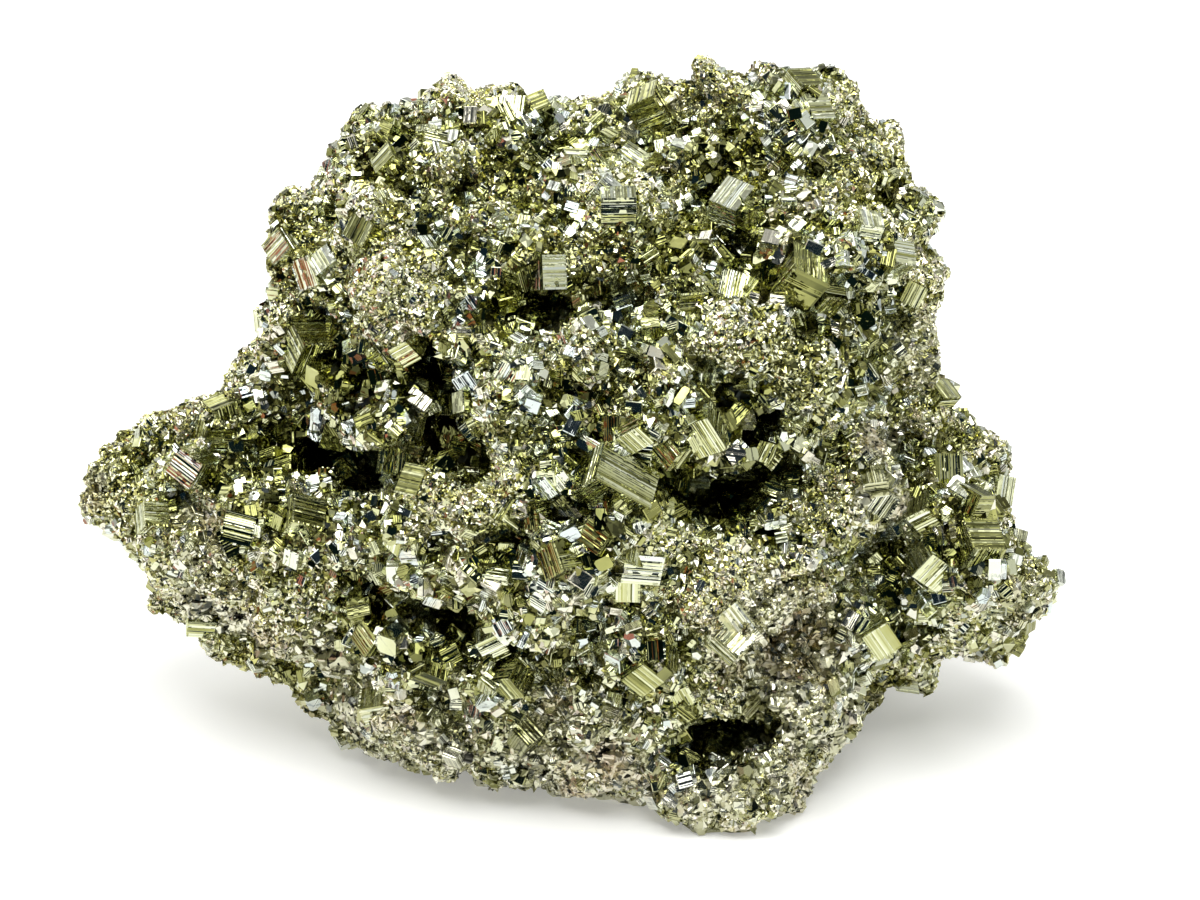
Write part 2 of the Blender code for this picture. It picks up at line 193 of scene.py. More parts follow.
def new_material(name: str, **settings: object) -> tuple[bpy.types.Material, Tree, bpy.types.Node]:
    """Makes a material that has a Principled surface.

    Args:
        name: the material's name.
        settings: values of the surface's inputs, with _ for a space.

    Returns:
        The material, its node tree and its Principled node.
    """
    material = bpy.data.materials.new(name)
    material.use_nodes = True
    tree = material.node_tree
    tree.nodes.clear()
    surface = add_node(tree, "ShaderNodeBsdfPrincipled", **settings)
    add_node(tree, "ShaderNodeOutputMaterial", {"Surface": surface.outputs["BSDF"]})
    return material, tree, surface


def add_object(name: str, data: bpy.types.ID) -> bpy.types.Object:
    """Makes an object.

    Args:
        name: the new object's name.
        data: its mesh, camera or light.

    Returns:
        The object, linked to the scene.
    """
    made = bpy.data.objects.new(name, data)
    bpy.context.scene.collection.objects.link(made)
    return made


def aim(made: bpy.types.Object, place: Vector, toward: Vector) -> None:
    """Puts a camera or a light in its place.

    Args:
        made: the camera or light.
        place: where it goes, in metres.
        toward: the direction that it looks in.
    """
    made.location = place
    made.rotation_mode = "QUATERNION"
    made.rotation_quaternion = toward.to_track_quat("-Z", "Y")


def read_values(items: bpy.types.bpy_prop_collection, name: str, width: int, kind: type = float) -> Points:
    """Reads one property of every item of a mesh.

    Args:
        items: such as the mesh's vertices.
        name: the property, such as "co".
        width: how many numbers it has.
        kind: what they are read as.

    Returns:
        An array with one row for each item, or with one number for each where width is 1.
    """
    flat = np.empty(len(items) * width, kind)
    items.foreach_get(name, flat)
    return flat.reshape(-1, width) if width > 1 else flat


def store_values(mesh: bpy.types.Mesh, name: str, domain: str, values: Points) -> None:
    """Stores numbers under a name that a material can read.

    Args:
        mesh: what they belong to.
        name: the attribute's name.
        domain: "POINT" for one number for each corner, "FACE" for one for each face.
        values: the numbers.
    """
    layer = mesh.attributes.new(name, "FLOAT", domain)
    layer.data.foreach_set("value", values.astype(np.float32))


@dataclass(frozen=True)
class Reading:
    """What a pyrite material reads of the mesh that it is on."""

    tree: Tree
    tone: Socket  # each face's tone, random and deepened by painted shade
    dull: Socket  # how broken the pyrite is
    places: Socket  # the place on the object


@dataclass(frozen=True)
class PyriteFinish:
    """Pyrite, an iron sulphide: a pale brass metal that breaks into flakes where it is rubbed or struck.

    What the eye gets from a whole face is one mirrored tone, from white to black. The broken part is greyer
    and matt, with dark cracks between its flakes and clouds of rust. Facets, growth steps and flakes are
    drawn coarser than most real ones, which would be too fine to show.
    """

    name: str
    tones: tuple[str, ...]  # darkest first, which painted shade reaches in caves and hollows, then deep brass, the paler and the tarnished ones
    roughness: tuple[float, float]  # of the first tone and of the last
    facet_mm: float  # width of the small facets that each face is made of
    facet_tilt: float  # how far they turn from the face, 1 for about 30 degrees
    calm_when_deep: float = 1.0  # share of that turn which the deepest tone keeps
    calm_up_to: float = 0.5  # tone from which all of it is kept
    tones_from: float = 0.1  # place of the first tone
    tones_span: float = 1.05  # distance from there to the last, which stops at 1
    cloud_mm: float = 7.0  # width of the clouds that the tones drift in
    cloud_gain: float = 0.3
    step_mm: float = 0.0  # width of the growth steps on a face, 0 for none
    step_slope: float = 0.22
    step_waver: float = 2.5  # how much their widths vary
    step_waver_per_mm: float = 0.9  # how soon they vary
    step_draw: float = 7.3  # the part of tone times this after its point tells how strong the steps are
    step_draws: tuple[float, float] = (0.15, 0.8)  # draws that give no steps and steps of full strength
    broken: tuple[str, ...] = ("#ADAC8E", "#CCCBB0", "#E0DEC8")
    broken_from: float = 0.25  # place of the first of those tones
    broken_apart: float = 0.3  # distance from one to the next
    broken_roughness: float = 0.30
    broken_tilt: float = 0.5
    rust: str = "#BA957A"  # rosy, in clouds, as it weathers out of broken pyrite
    rust_mm: float = 11.0
    rust_levels: tuple[float, float] = (0.52, 0.66)  # of its noise, where rust starts and where it is full
    rust_most: float = 0.4
    flake_mm: float = 2.0  # width of the flat flakes that broken pyrite splits into
    flake_turn: tuple[float, float, float] = (0.4, 0.5, 0.6)
    flake_pace: tuple[float, float, float] = (0.5, 1.0, 1.0)  # they are twice as long as wide
    crack: str = "#26251F"
    crack_mm: float = 0.416  # widest crack between two flakes
    crack_run_mm: float = 1.7  # about how far a crack stays open
    crack_levels: tuple[float, float] = (0.47, 0.72)  # of its noise, where they open and are widest

    def material(self) -> bpy.types.Material:
        """Makes the material, which reads the attributes tone and dull and the map face_mm of a mesh.

        Returns:
            The material.
        """
        made, tree, surface = new_material(self.name, Metallic=1.0)
        read = Reading(
            tree,
            tone=add_node(tree, "ShaderNodeAttribute", attribute_name="tone").outputs["Fac"],
            dull=add_node(tree, "ShaderNodeAttribute", attribute_name="dull").outputs["Fac"],
            places=add_node(tree, "ShaderNodeTexCoord").outputs["Object"],
        )
        low, high = self.roughness
        polish = add_node(tree, "ShaderNodeMapRange", {"Value": read.tone}, To_Min=low, To_Max=high)
        rubbed = add_node(
            tree,
            "ShaderNodeMix",
            {"Factor": read.dull, 2: polish.outputs[0], 3: self.broken_roughness},
        )
        tree.links.new(self.colour(read), surface.inputs["Base Color"])
        tree.links.new(rubbed.outputs[0], surface.inputs["Roughness"])
        tree.links.new(self.facing(read), surface.inputs["Normal"])
        return made

    def colour(self, read: Reading) -> Socket:
        """Adds the nodes for the colour: bright tones on whole faces, grey, rust and cracks on broken ones.

        Args:
            read: what is read of the mesh.

        Returns:
            The socket that gives the colour.
        """
        tree, places = read.tree, {"Vector": read.places}
        clouds = add_node(tree, "ShaderNodeTexNoise", places, Scale=per_metre(self.cloud_mm), Detail=3.0)
        shade = add_node(
            tree,
            "ShaderNodeMath",
            {0: clouds.outputs["Fac"], 1: self.cloud_gain, 2: read.tone},
            operation="MULTIPLY_ADD",
        )
        last = len(self.tones) - 1
        spread = [self.tones_from + self.tones_span * n / last for n in range(last + 1)]
        whole = add_node(
            tree,
            "ShaderNodeValToRGB",
            {"Fac": shade.outputs[0]},
            stops=[(min(place, 1.0), colour) for place, colour in zip(spread, self.tones)],
        )
        first, apart = self.broken_from, self.broken_apart
        matt = add_node(
            tree,
            "ShaderNodeValToRGB",
            {"Fac": shade.outputs[0]},
            stops=[(first + apart * n, colour) for n, colour in enumerate(self.broken)],
        )
        rust = add_node(tree, "ShaderNodeTexNoise", places, Scale=per_metre(self.rust_mm), Detail=4.0)
        start, full = self.rust_levels
        rusty = add_node(
            tree,
            "ShaderNodeMapRange",
            {"Value": rust.outputs["Fac"]},
            From_Min=start,
            From_Max=full,
            To_Max=self.rust_most,
        )
        laid = matt.outputs["Color"]
        for amount, colour in ((rusty.outputs[0], self.rust), (self.cracks(read), self.crack)):
            mixed = {"Factor": amount, 6: laid, 7: linear(colour)}
            laid = add_node(tree, "ShaderNodeMix", mixed, data_type="RGBA").outputs[2]
        both = {"Factor": read.dull, 6: whole.outputs["Color"], 7: laid}
        return add_node(tree, "ShaderNodeMix", both, data_type="RGBA").outputs[2]

    def flakes(self, read: Reading, feature: str) -> bpy.types.Node:
        """Adds the cells of the flakes, which are longer than they are wide.

        Args:
            read: what is read of the mesh.
            feature: what is read of the cells, "F1" for one colour each or "DISTANCE_TO_EDGE".

        Returns:
            The texture node.
        """
        longer = add_node(
            read.tree,
            "ShaderNodeMapping",
            {"Vector": read.places},
            Rotation=self.flake_turn,
            Scale=self.flake_pace,
        )
        return add_node(
            read.tree,
            "ShaderNodeTexVoronoi",
            {"Vector": longer.outputs[0]},
            feature=feature,
            Scale=per_metre(self.flake_mm),
        )

    def cracks(self, read: Reading) -> Socket:
        """Adds the dark cracks that run round some of the flakes.

        Args:
            read: what is read of the mesh.

        Returns:
            The socket that is 1 in a crack and 0 beside it.
        """
        edge = self.flakes(read, "DISTANCE_TO_EDGE").outputs["Distance"]
        run = add_node(
            read.tree,
            "ShaderNodeTexNoise",
            {"Vector": read.places},
            Scale=per_metre(self.crack_run_mm),
            Detail=2.0,
        )
        start, widest = self.crack_levels
        width = add_node(
            read.tree,
            "ShaderNodeMapRange",
            {"Value": run.outputs["Fac"]},
            From_Min=start,
            From_Max=widest,
            To_Max=self.crack_mm / self.flake_mm,
        )
        inside = add_node(read.tree, "ShaderNodeMath", {0: edge, 1: width.outputs[0]}, operation="LESS_THAN")
        return inside.outputs[0]

    def facing(self, read: Reading) -> Socket:
        """Adds the nodes that turn small facets and growth steps away from the face.

        Args:
            read: what is read of the mesh.

        Returns:
            The socket that gives the direction that the surface faces.
        """
        tree = read.tree
        places = {"Vector": read.places}
        cells = add_node(tree, "ShaderNodeTexVoronoi", places, Scale=per_metre(self.facet_mm))
        flakes = self.flakes(read, "F1")
        either = add_node(
            tree,
            "ShaderNodeMix",
            {"Factor": read.dull, 6: cells.outputs["Color"], 7: flakes.outputs["Color"]},
            data_type="RGBA",
        )
        centred = {0: either.outputs[2], 1: (0.5, 0.5, 0.5)}
        about = add_node(tree, "ShaderNodeVectorMath", centred, operation="SUBTRACT")
        amount = add_node(
            tree,
            "ShaderNodeMapRange",
            {"Value": read.dull},
            To_Min=self.facet_tilt,
            To_Max=self.broken_tilt,
        )
        kept = add_node(
            tree,
            "ShaderNodeMapRange",
            {"Value": read.tone},
            From_Max=self.calm_up_to,
            To_Min=self.calm_when_deep,
        )
        tilt = add_node(
            tree,
            "ShaderNodeMath",
            {0: amount.outputs[0], 1: kept.outputs[0]},
            operation="MULTIPLY",
        )
        lean = add_node(
            tree,
            "ShaderNodeVectorMath",
            {0: about.outputs[0], "Scale": tilt.outputs[0]},
            operation="SCALE",
        )
        if self.step_mm:
            outward = self.stepped(read)
        else:
            outward = add_node(tree, "ShaderNodeNewGeometry").outputs["Normal"]
        leaning = add_node(tree, "ShaderNodeVectorMath", {0: lean.outputs[0], 1: outward}, operation="ADD")
        faced = add_node(tree, "ShaderNodeVectorMath", {0: leaning.outputs[0]}, operation="NORMALIZE")
        return faced.outputs[0]

    def stepped(self, read: Reading) -> Socket:
        """Adds parallel growth steps, which run one way on a face and are stronger on some crystals.

        Args:
            read: what is read of the mesh; a crystal's tone also tells how strong its steps are.

        Returns:
            The socket that gives the direction that the stepped surface faces.
        """
        tree = read.tree
        on_face = add_node(tree, "ShaderNodeUVMap", uv_map="face_mm").outputs["UV"]
        across = add_node(tree, "ShaderNodeSeparateXYZ", {0: on_face}).outputs["X"]
        widths = add_node(
            tree,
            "ShaderNodeTexNoise",
            {"W": across},
            noise_dimensions="1D",
            Scale=self.step_waver_per_mm,
            Detail=2.0,
        )
        steps = add_node(tree, "ShaderNodeMath", {0: across, 1: 0.5 / self.step_mm}, operation="MULTIPLY")
        uneven = add_node(
            tree,
            "ShaderNodeMath",
            {0: widths.outputs[0], 1: self.step_waver, 2: steps.outputs[0]},
            operation="MULTIPLY_ADD",
        )
        zigzag = add_node(tree, "ShaderNodeMath", {0: uneven.outputs[0], 1: 0.5}, operation="PINGPONG")
        mixed = add_node(tree, "ShaderNodeMath", {0: read.tone, 1: self.step_draw}, operation="MULTIPLY")
        drawn = add_node(tree, "ShaderNodeMath", {0: mixed.outputs[0]}, operation="FRACT")
        none, full = self.step_draws
        strength = add_node(
            tree,
            "ShaderNodeMapRange",
            {"Value": drawn.outputs[0]},
            From_Min=none,
            From_Max=full,
        )
        relief = add_node(
            tree,
            "ShaderNodeBump",
            {"Height": zigzag.outputs[0], "Strength": strength.outputs[0]},
            Distance=self.step_slope * 2 * self.step_mm * MM,
        )
        return relief.outputs[0]


# Grown faces of crystals: nearly polished mirrors, ruled with fine steps, which flash or go dark as a whole.
# Their near-black first tone also serves as painted shade.
CRYSTAL_FACE = PyriteFinish(
    name="pyrite crystal face",
    tones=("#333720", "#9FA061", "#CED1AA", "#E0E4D2", "#C6D0CF", "#D8D5C2"),
    roughness=(0.05, 0.18),
    facet_mm=0.9,
    facet_tilt=0.17,
    step_mm=0.34,
)
# Crystals as fine as sugar: a little duller and warmer, so that crowds of them glitter softly. Their dark first
# tone also serves as painted shade.
SUGAR = PyriteFinish(
    name="pyrite sugar",
    tones=("#494720", "#BDBA74", "#E1E2C2", "#ECEDDF", "#E7E0CD"),
    roughness=(0.07, 0.24),
    facet_mm=0.6,
    facet_tilt=0.20,
)
# The crust that they all grow on: rough and dark, its near-black first tone painted shade, so that it reads as
# depth between the crystals.
DRUSE = PyriteFinish(
    name="fine pyrite druse",
    tones=("#1B2126", "#626133", "#A9AB7E", "#C4C6A2"),
    roughness=(0.28, 0.16),
    facet_mm=0.8,
    facet_tilt=0.9,
    calm_when_deep=0.15,
)


@dataclass(frozen=True)
class PaperFloor:
    """White board, lit a little from below: pale and matt, so that it takes only a faint shadow."""

    name: str = "white background board"
    white: str = "#F4F4F2"
    fibre: str = "#F1F1EF"
    fibre_mm: float = 0.8
    fibre_levels: tuple[float, float] = (0.3, 0.7)  # of its noise, where it is fibre and where it is white
    roughness: float = 0.9
    glow: float = 0.3

    def material(self) -> bpy.types.Material:
        """Makes the material.

        Returns:
            The material.
        """
        made, tree, surface = new_material(
            self.name,
            Metallic=0.0,
            Roughness=self.roughness,
            Emission_Color=linear(self.white),
            Emission_Strength=self.glow,
        )
        places = add_node(tree, "ShaderNodeTexCoord").outputs["Object"]
        fibres = add_node(
            tree,
            "ShaderNodeTexNoise",
            {"Vector": places},
            Scale=per_metre(self.fibre_mm),
            Detail=2.0,
        )
        colour = add_node(
            tree,
            "ShaderNodeValToRGB",
            {"Fac": fibres.outputs["Fac"]},
            stops=tuple(zip(self.fibre_levels, (self.fibre, self.white))),
        )
        tree.links.new(colour.outputs["Color"], surface.inputs["Base Color"])
        return made


@dataclass
class Shape:
    """A closed shape that is repeated: its corners, and those of each of its faces, counter-clockwise."""

    corners: Points
    faces: list[list[int]]


class Habit(Enum):
    """The forms that pyrite takes in this cluster, with the names that their pieces have."""

    CUBE = "cubes"
    WORN_CUBE = "edged_cubes"
    CUT_CUBE = "cut_cubes"
    PYRITOHEDRON = "pyritohedra"
    CORNER = "corners"

    def shape(self) -> Shape:
        """Makes the form.

        Returns:
            The form, one unit across.
        """
        signs = [np.array(trio) for trio in product((-1.0, 1.0), repeat=3)]
        if self is Habit.CUBE:
            corners = signs
        elif self is Habit.CORNER:
            corners = [np.array(trio) * 2.0 for trio in ((0, 0, 0), (1, 0, 0), (0, 1, 0), (0, 0, 1))]
        elif self is Habit.WORN_CUBE:
            corners = [sign * np.roll((1.0, WORN_EDGE, WORN_EDGE), n) for sign in signs for n in range(3)]
        elif self is Habit.CUT_CUBE:
            corners = [sign * np.roll((1.0, 1.0, CUT_CORNER), n) for sign in signs for n in range(3)]
        else:
            slope = PYRITOHEDRON_SLOPE
            corners = [sign / (1 + slope) for sign in signs]
            corners += [sign * np.roll((0.0, 1.0, 1 - slope), n) for sign in signs for n in range(3)]
        every = np.unique(np.round(np.array(corners) / 2, 9) + 0.0, axis=0)
        return Shape(every, flat_faces(every))


def flat_faces(corners: Points) -> list[list[int]]:
    """Finds the faces of a convex shape.

    Args:
        corners: the shape's corners.

    Returns:
        For each flat face, its corners in order, counter-clockwise from outside.
    """
    middle = corners.mean(axis=0)
    found: dict[tuple, list[int]] = {}
    for i, j, k in permutations(range(len(corners)), 3):
        normal = np.cross(corners[j] - corners[i], corners[k] - corners[i])
        length = np.linalg.norm(normal)
        if length < TINY:
            continue
        normal = normal / length
        height = corners @ normal
        if height.max() > height[i] + TINY or (corners[i] - middle) @ normal < TINY:
            continue
        on_it = np.flatnonzero(height > height[i] - TINY)
        key = tuple(on_it)
        if key in found:
            continue
        spokes = corners[on_it] - corners[on_it].mean(axis=0)
        angles = np.arctan2(spokes @ np.cross(normal, spokes[0]), spokes @ spokes[0])
        found[key] = [int(n) for n in on_it[np.argsort(angles)]]
    return list(found.values())


@dataclass
class Faces:
    """Faces of closed shapes, ready to be written as a mesh."""

    points: Points  # corners
    loops: Points  # corner numbers, face after face
    sizes: Points  # how many corners each face has
    tones: Points  # one for each face
    dulls: Points  # one for each face
    maps: Points  # for each loop, its place on its face
    owners: Points  # for each face, the number of the crystal that it belongs to, from 0


@dataclass
class Placed:
    """Many copies of one form: where each is, how it is turned, how big it is and how it looks."""

    habit: Habit
    centres: Points
    turns: Points  # N by 3 by 3, with a copy's own axes as columns
    sizes: Points  # N by 3
    tones: Points
    dulls: Points

    def lowest(self) -> Points:
        """The height of the lowest corner of a brick in each place."""
        return self.centres[:, 2] - np.einsum("nj,nj->n", np.abs(self.turns[:, 2, :]), self.sizes) / 2

    def part(self, chosen: slice | Points) -> Placed:
        """The chosen copies alone."""
        arrays = {name: value[chosen] for name, value in vars(self).items() if name != "habit"}
        return replace(self, **arrays)

    def faces(self) -> Faces:
        """Works out the faces of all the copies.

        Returns:
            The faces, copy after copy.
        """
        shape = self.habit.shape()
        count, sides = len(self.centres), len(shape.faces)
        scaled = shape.corners[None] * self.sizes[:, None]
        points = self.centres[:, None] + np.einsum("nij,ncj->nci", self.turns, scaled)
        loops = np.arange(count)[:, None] * len(shape.corners) + np.concatenate(shape.faces)[None]
        maps = []
        for number, face in enumerate(shape.faces):
            a, b, c = (shape.corners[face[n]] for n in range(3))
            along = (b - a) / np.linalg.norm(b - a)
            normal = np.cross(b - a, c - a)
            upward = np.cross(normal / np.linalg.norm(normal), along)
            if number % 2:
                along, upward = upward, along
            on_face = scaled[:, face]
            maps.append(np.stack((on_face @ along, on_face @ upward + number * FACE_SHIFT), axis=2))
        return Faces(
            points=points.reshape(-1, 3),
            loops=loops.ravel(),
            sizes=np.tile([len(face) for face in shape.faces], count),
            tones=np.repeat(self.tones, sides),
            dulls=np.repeat(self.dulls, sides),
            maps=np.concatenate(maps, axis=1).reshape(-1, 2),
            owners=np.repeat(np.arange(count), sides),
        )


def bake_map(owners: Points, sizes: Points, starts: Points) -> Points:
    """Lays out a map in which each crystal has one small cell, for looks that are baked to a texture.

    Args:
        owners: for each face, the number of its crystal.
        sizes: how many corners each face has.
        starts: where each face starts among the loops.

    Returns:
        The place of each loop.
    """
    side = math.ceil(math.sqrt(owners.max() + 1))
    cells = np.repeat(owners, sizes)
    middles = np.stack(((cells % side + 0.5) / side, (cells // side + 0.5) / side), axis=1)
    turn = (np.arange(sizes.sum()) - np.repeat(starts, sizes)) * BAKE_TURN
    return middles + BAKE_REACH / side * np.stack((np.cos(turn), np.sin(turn)), axis=1)


def write_mesh(name: str, parts: Sequence[Faces], material: bpy.types.Material) -> bpy.types.Object:
    """Writes closed shapes as one mesh, with its attributes and maps.

    Args:
        name: the new object's name.
        parts: the shapes.
        material: what they are made of.

    Returns:
        The object, linked to the scene.
    """
    corners_before = np.cumsum([0, *(len(part.points) for part in parts)])
    owners_before = np.cumsum([0, *(part.owners.max() + 1 for part in parts)])
    points = np.concatenate([part.points for part in parts]) * MM
    loops = np.concatenate([part.loops + before for part, before in zip(parts, corners_before)])
    owners = np.concatenate([part.owners + before for part, before in zip(parts, owners_before)])
    sizes = np.concatenate([part.sizes for part in parts])
    starts = np.concatenate(([0], np.cumsum(sizes)[:-1]))
    mesh = bpy.data.meshes.new(name)
    mesh.vertices.add(len(points))
    mesh.vertices.foreach_set("co", points.astype(np.float32).ravel())
    mesh.loops.add(len(loops))
    mesh.loops.foreach_set("vertex_index", loops.astype(np.int32))
    mesh.polygons.add(len(sizes))
    mesh.polygons.foreach_set("loop_start", starts.astype(np.int32))
    mesh.update(calc_edges=True)
    mesh.polygons.foreach_set("use_smooth", np.zeros(len(sizes), bool))
    store_values(mesh, "tone", "FACE", np.concatenate([part.tones for part in parts]))
    store_values(mesh, "dull", "FACE", np.concatenate([part.dulls for part in parts]))
    on_faces = np.concatenate([part.maps for part in parts])
    for map_name, places in (("face_mm", on_faces), ("OFBake", bake_map(owners, sizes, starts))):
        layer = mesh.uv_layers.new(name=map_name)
        layer.data.foreach_set("uv", places.astype(np.float32).ravel())
    mesh.materials.append(material)
    made = add_object(name, mesh)
    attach(made, BODY)
    return made


@dataclass(frozen=True)
class Patch:
    """A round patch of the crystal face, with how strongly it counts, from 0 to 1."""

    across: float
    rise: float
    radius: float
    value: float

    def closeness(self, across: Points, rise: Points) -> Points:
        """How far inside it each place on the face is, from 0 past its rim to 1 over most of it."""
        distance = np.hypot(across - self.across, rise - self.rise) / self.radius
        return np.clip((PATCH_REACH - distance) * PATCH_EDGE, 0, 1)


def patches(*rows: tuple[float, float, float, float]) -> tuple[Patch, ...]:
    """Makes patches from rows of across, rise, radius and value."""
    return tuple(Patch(*row) for row in rows)


@dataclass
class Zones:
    """Where the crystals are coarse or fine, where the cluster is broken, and where its tone is deepened: by
    painted shade and painted reflection on the crystal face and in hollows, and by slow noise elsewhere.

    The crystal face has patches of its own, told by their place across and up it. On the other sides the same
    things change by slow noise.
    """

    coarse: tuple[Patch, ...] = patches(
        (-42, 59, 6, 0.7), (-24, 98, 4, 0.6), (-9, 96, 5, 0.7), (-3, 98, 4, 0.8), (1, 90, 4, 0.9),
        (8, 95, 5, 0.7), (14, 98, 4, 0.8), (35, 100, 6, 0.7), (36, 71, 7, 1.0), (29, 71, 5, 0.8),
        (46, 73, 6, 0.7), (28, 86, 8, 0.5), (-30, 53, 9, 0.6), (-12, 62, 8, 0.7), (-2, 50, 9, 0.7),
        (14, 61, 6, 0.8), (4, 38, 9, 1.0), (20, 46, 9, 0.8), (33, 43, 6, 0.8), (62, 35, 10, 0.8),
        (67, 27, 6, 0.9), (54, 18, 8, 0.75), (6, 13, 8, 0.8), (-25, 17, 11, 0.8), (-8, 24, 9, 0.9),
        (-35, 12, 8, 0.6), (-20, 6, 9, 0.6), (25, -4, 7, 0.8), (-45, 32, 8, 0.7), (-33, 32, 7, 0.7),
    )  # fmt: skip
    sugar: tuple[Patch, ...] = patches(
        (-24, 67, 9, 1.0), (-15, 37, 10, 1.0), (21, 24, 10, 1.0), (41, 36, 6, 1.0), (-43, 79, 8, 0.9),
        (-18, 104, 6, 0.8), (-11, 85, 8, 0.7), (46, 84, 6, 1.0), (7, 86, 6, 0.9), (5, 78, 6, 0.8),
        (57, 90, 5, 0.9), (29, 60, 9, 0.9), (22, 104, 12, 0.8), (50, 98, 8, 0.8), (-50, 22, 10, 0.9),
        (-74, 40, 8, 0.9), (-60, 48, 8, 0.6),
    )  # fmt: skip
    broken: tuple[Patch, ...] = patches(
        (-60, 10, 14, 0.9), (-42, 3, 12, 0.9), (-22, -6, 12, 0.8), (0, -8, 14, 0.8), (25, -14, 9, 0.7),
        (42, -5, 12, 0.8), (34, 13, 12, 0.7), (50, 36, 5, 0.9), (50, 45, 4, 0.8), (58, 60, 6, 0.6),
        (76, 18, 7, 0.6), (-58, 30, 6, 0.6), (-79, 38, 5, 0.6),
    )  # fmt: skip
    # Dark holes: the skin goes in there, away from the eye, and painted shade deepens the tone there.
    caves: tuple[Patch, ...] = patches(
        (-37, 59, 4, 1.0), (-32, 54, 5, 1.0), (-44, 45, 5, 0.9), (-39, 45, 5, 1.0), (-33, 40, 4, 1.0),
        (-23, 56, 4, 1.0), (-22, 51, 4, 1.0), (-17, 45, 5, 1.0), (-10, 65, 4, 0.8), (-3, 66, 4, 0.8),
        (4, 67, 4, 0.7), (15, 74, 4, 0.7), (8, 41, 4, 0.7), (12, 39, 4, 0.8), (19, 38, 5, 0.92),
        (26, 36, 5, 0.92), (31, 39, 4, 0.85), (27, 50, 5, 1.0), (44, 53, 3, 0.7), (37, 47, 3, 0.5),
        (-31, 20, 5, 0.9), (-16, 16, 5, 1.0), (-8, 10, 4, 0.5), (-10, 29, 4, 0.7), (20, -3, 4, 1.0),
        (25, -1, 3, 0.8), (31, 1, 4, 0.95), (53, 15, 4, 0.6), (-9, 90, 3, 0.5), (51, 87, 3, 0.5),
    )  # fmt: skip
    # Painted reflection and shade: a deep brass tone where crystals mirror each other.
    painted_mirrored_gold: tuple[Patch, ...] = patches(
        (26, 89, 7, 0.8), (21, 95, 3, 0.5), (28, 83, 4, 0.5), (-28, 90, 5, 0.9), (-25, 83, 4, 0.5),
        (-8, 89, 5, 0.7), (8, 75, 6, 0.5), (17, 77, 4, 0.6), (-5, 72, 6, 0.6), (50, 86, 5, 0.6),
        (49, 67, 4, 0.5), (36, 57, 6, 0.45), (10, 55, 5, 0.45), (-72, 40, 7, 0.5), (-43, 75, 7, 0.6),
        (-52, 38, 6, 0.4),
    )  # fmt: skip
    # Shallow dips that are not lined with coarse crystals and take less painted shade.
    level: tuple[Patch, ...] = patches(
        (35, 11, 6, 1.0), (41, 16, 6, 1.0), (48, 21, 6, 1.0), (54, 27, 6, 0.8), (63, 31, 5, 0.6),
        (43, 36, 6, 1.0), (28, 79, 4, 0.8), (20, 101, 6, 0.7),
    )  # fmt: skip
    coarse_swell: float = 12.0
    coarse_usual: float = 0.48
    coarse_change: float = 0.42  # how far coarseness goes from the usual, either way
    coarsest: float = 1.3
    deep_swell: float = 17.0
    deep_gain: float = 1.8
    deep_offset: float = 0.35  # leaves most places away from the crystal face bright
    deep_most: float = 0.85
    # painted shade in a hollow, at its deepest
    painted_shade_in_hollows: float = 0.4
    foot_height: float = 14.0  # under this the cluster is broken
    foot_fade: float = 12.0  # and fully so this much further down
    foot_dull: float = 0.8  # how dull it is there
    under_gain: float = 1.2  # how soon a place that looks down counts as doing so
    under_dull: float = 0.6  # how dull such a place is
    on_face: float = 0.5  # share of the last two that is left on the crystal face
    dull_swell: float = 5.0
    dull_usual: float = 0.85
    dull_change: float = 0.4

    def inside(self, chosen: Sequence[Patch], points: Points) -> Points:
        """How far each point lies in some patches of the crystal face.

        Args:
            chosen: the patches, such as the caves.
            points: places on the cluster.

        Returns:
            The highest value of the patches at each point, from 0 outside of all of them.
        """
        across, rise = seen_from_front(points)
        value = np.zeros(len(points))
        for patch in chosen:
            value = np.maximum(value, patch.closeness(across, rise) * patch.value)
        return np.where(on_crystal_face(points), value, 0.0)

    def shade(self, points: Points, hollows: Points) -> Points:
        """How deep the tone is made: painted shade deepest in a cave, painted reflection of mirrored gold less
        so, painted shade a little in any hollow, and slow noise away from the crystal face.

        Args:
            points: places on the cluster.
            hollows: how deep in a hollow each one is, from 0 to 1.

        Returns:
            One value for each point, from 0 to 1.
        """
        front = self.inside(self.caves + self.painted_mirrored_gold, points)
        swells = self.deep_gain * slow_noise(points, self.deep_swell, DEEP_NOISE)
        elsewhere = np.clip(swells - self.deep_offset, 0, self.deep_most)
        return np.maximum(np.where(on_crystal_face(points), front, elsewhere), self.painted_shade_in_hollows * hollows)

    def coarseness(self, points: Points, hollows: Points) -> Points:
        """How coarse the crystals are, from 0 for sugar to the coarsest.

        Args:
            points: places on the cluster.
            hollows: how deep in a hollow each one is, from 0 to 1; crystals there had room to grow.

        Returns:
            One value for each point.
        """
        slow = self.coarse_usual + self.coarse_change * slow_noise(points, self.coarse_swell, COARSE_NOISE)
        across, rise = seen_from_front(points)
        value = slow
        for patch in self.sugar:
            value = value * (1 - patch.closeness(across, rise) * patch.value)
        for patch in self.coarse:
            value = np.maximum(value, patch.closeness(across, rise) * patch.value)
        value = np.where(on_crystal_face(points), value, slow)
        return np.clip(np.maximum(value, hollows * self.coarsest), 0, self.coarsest)

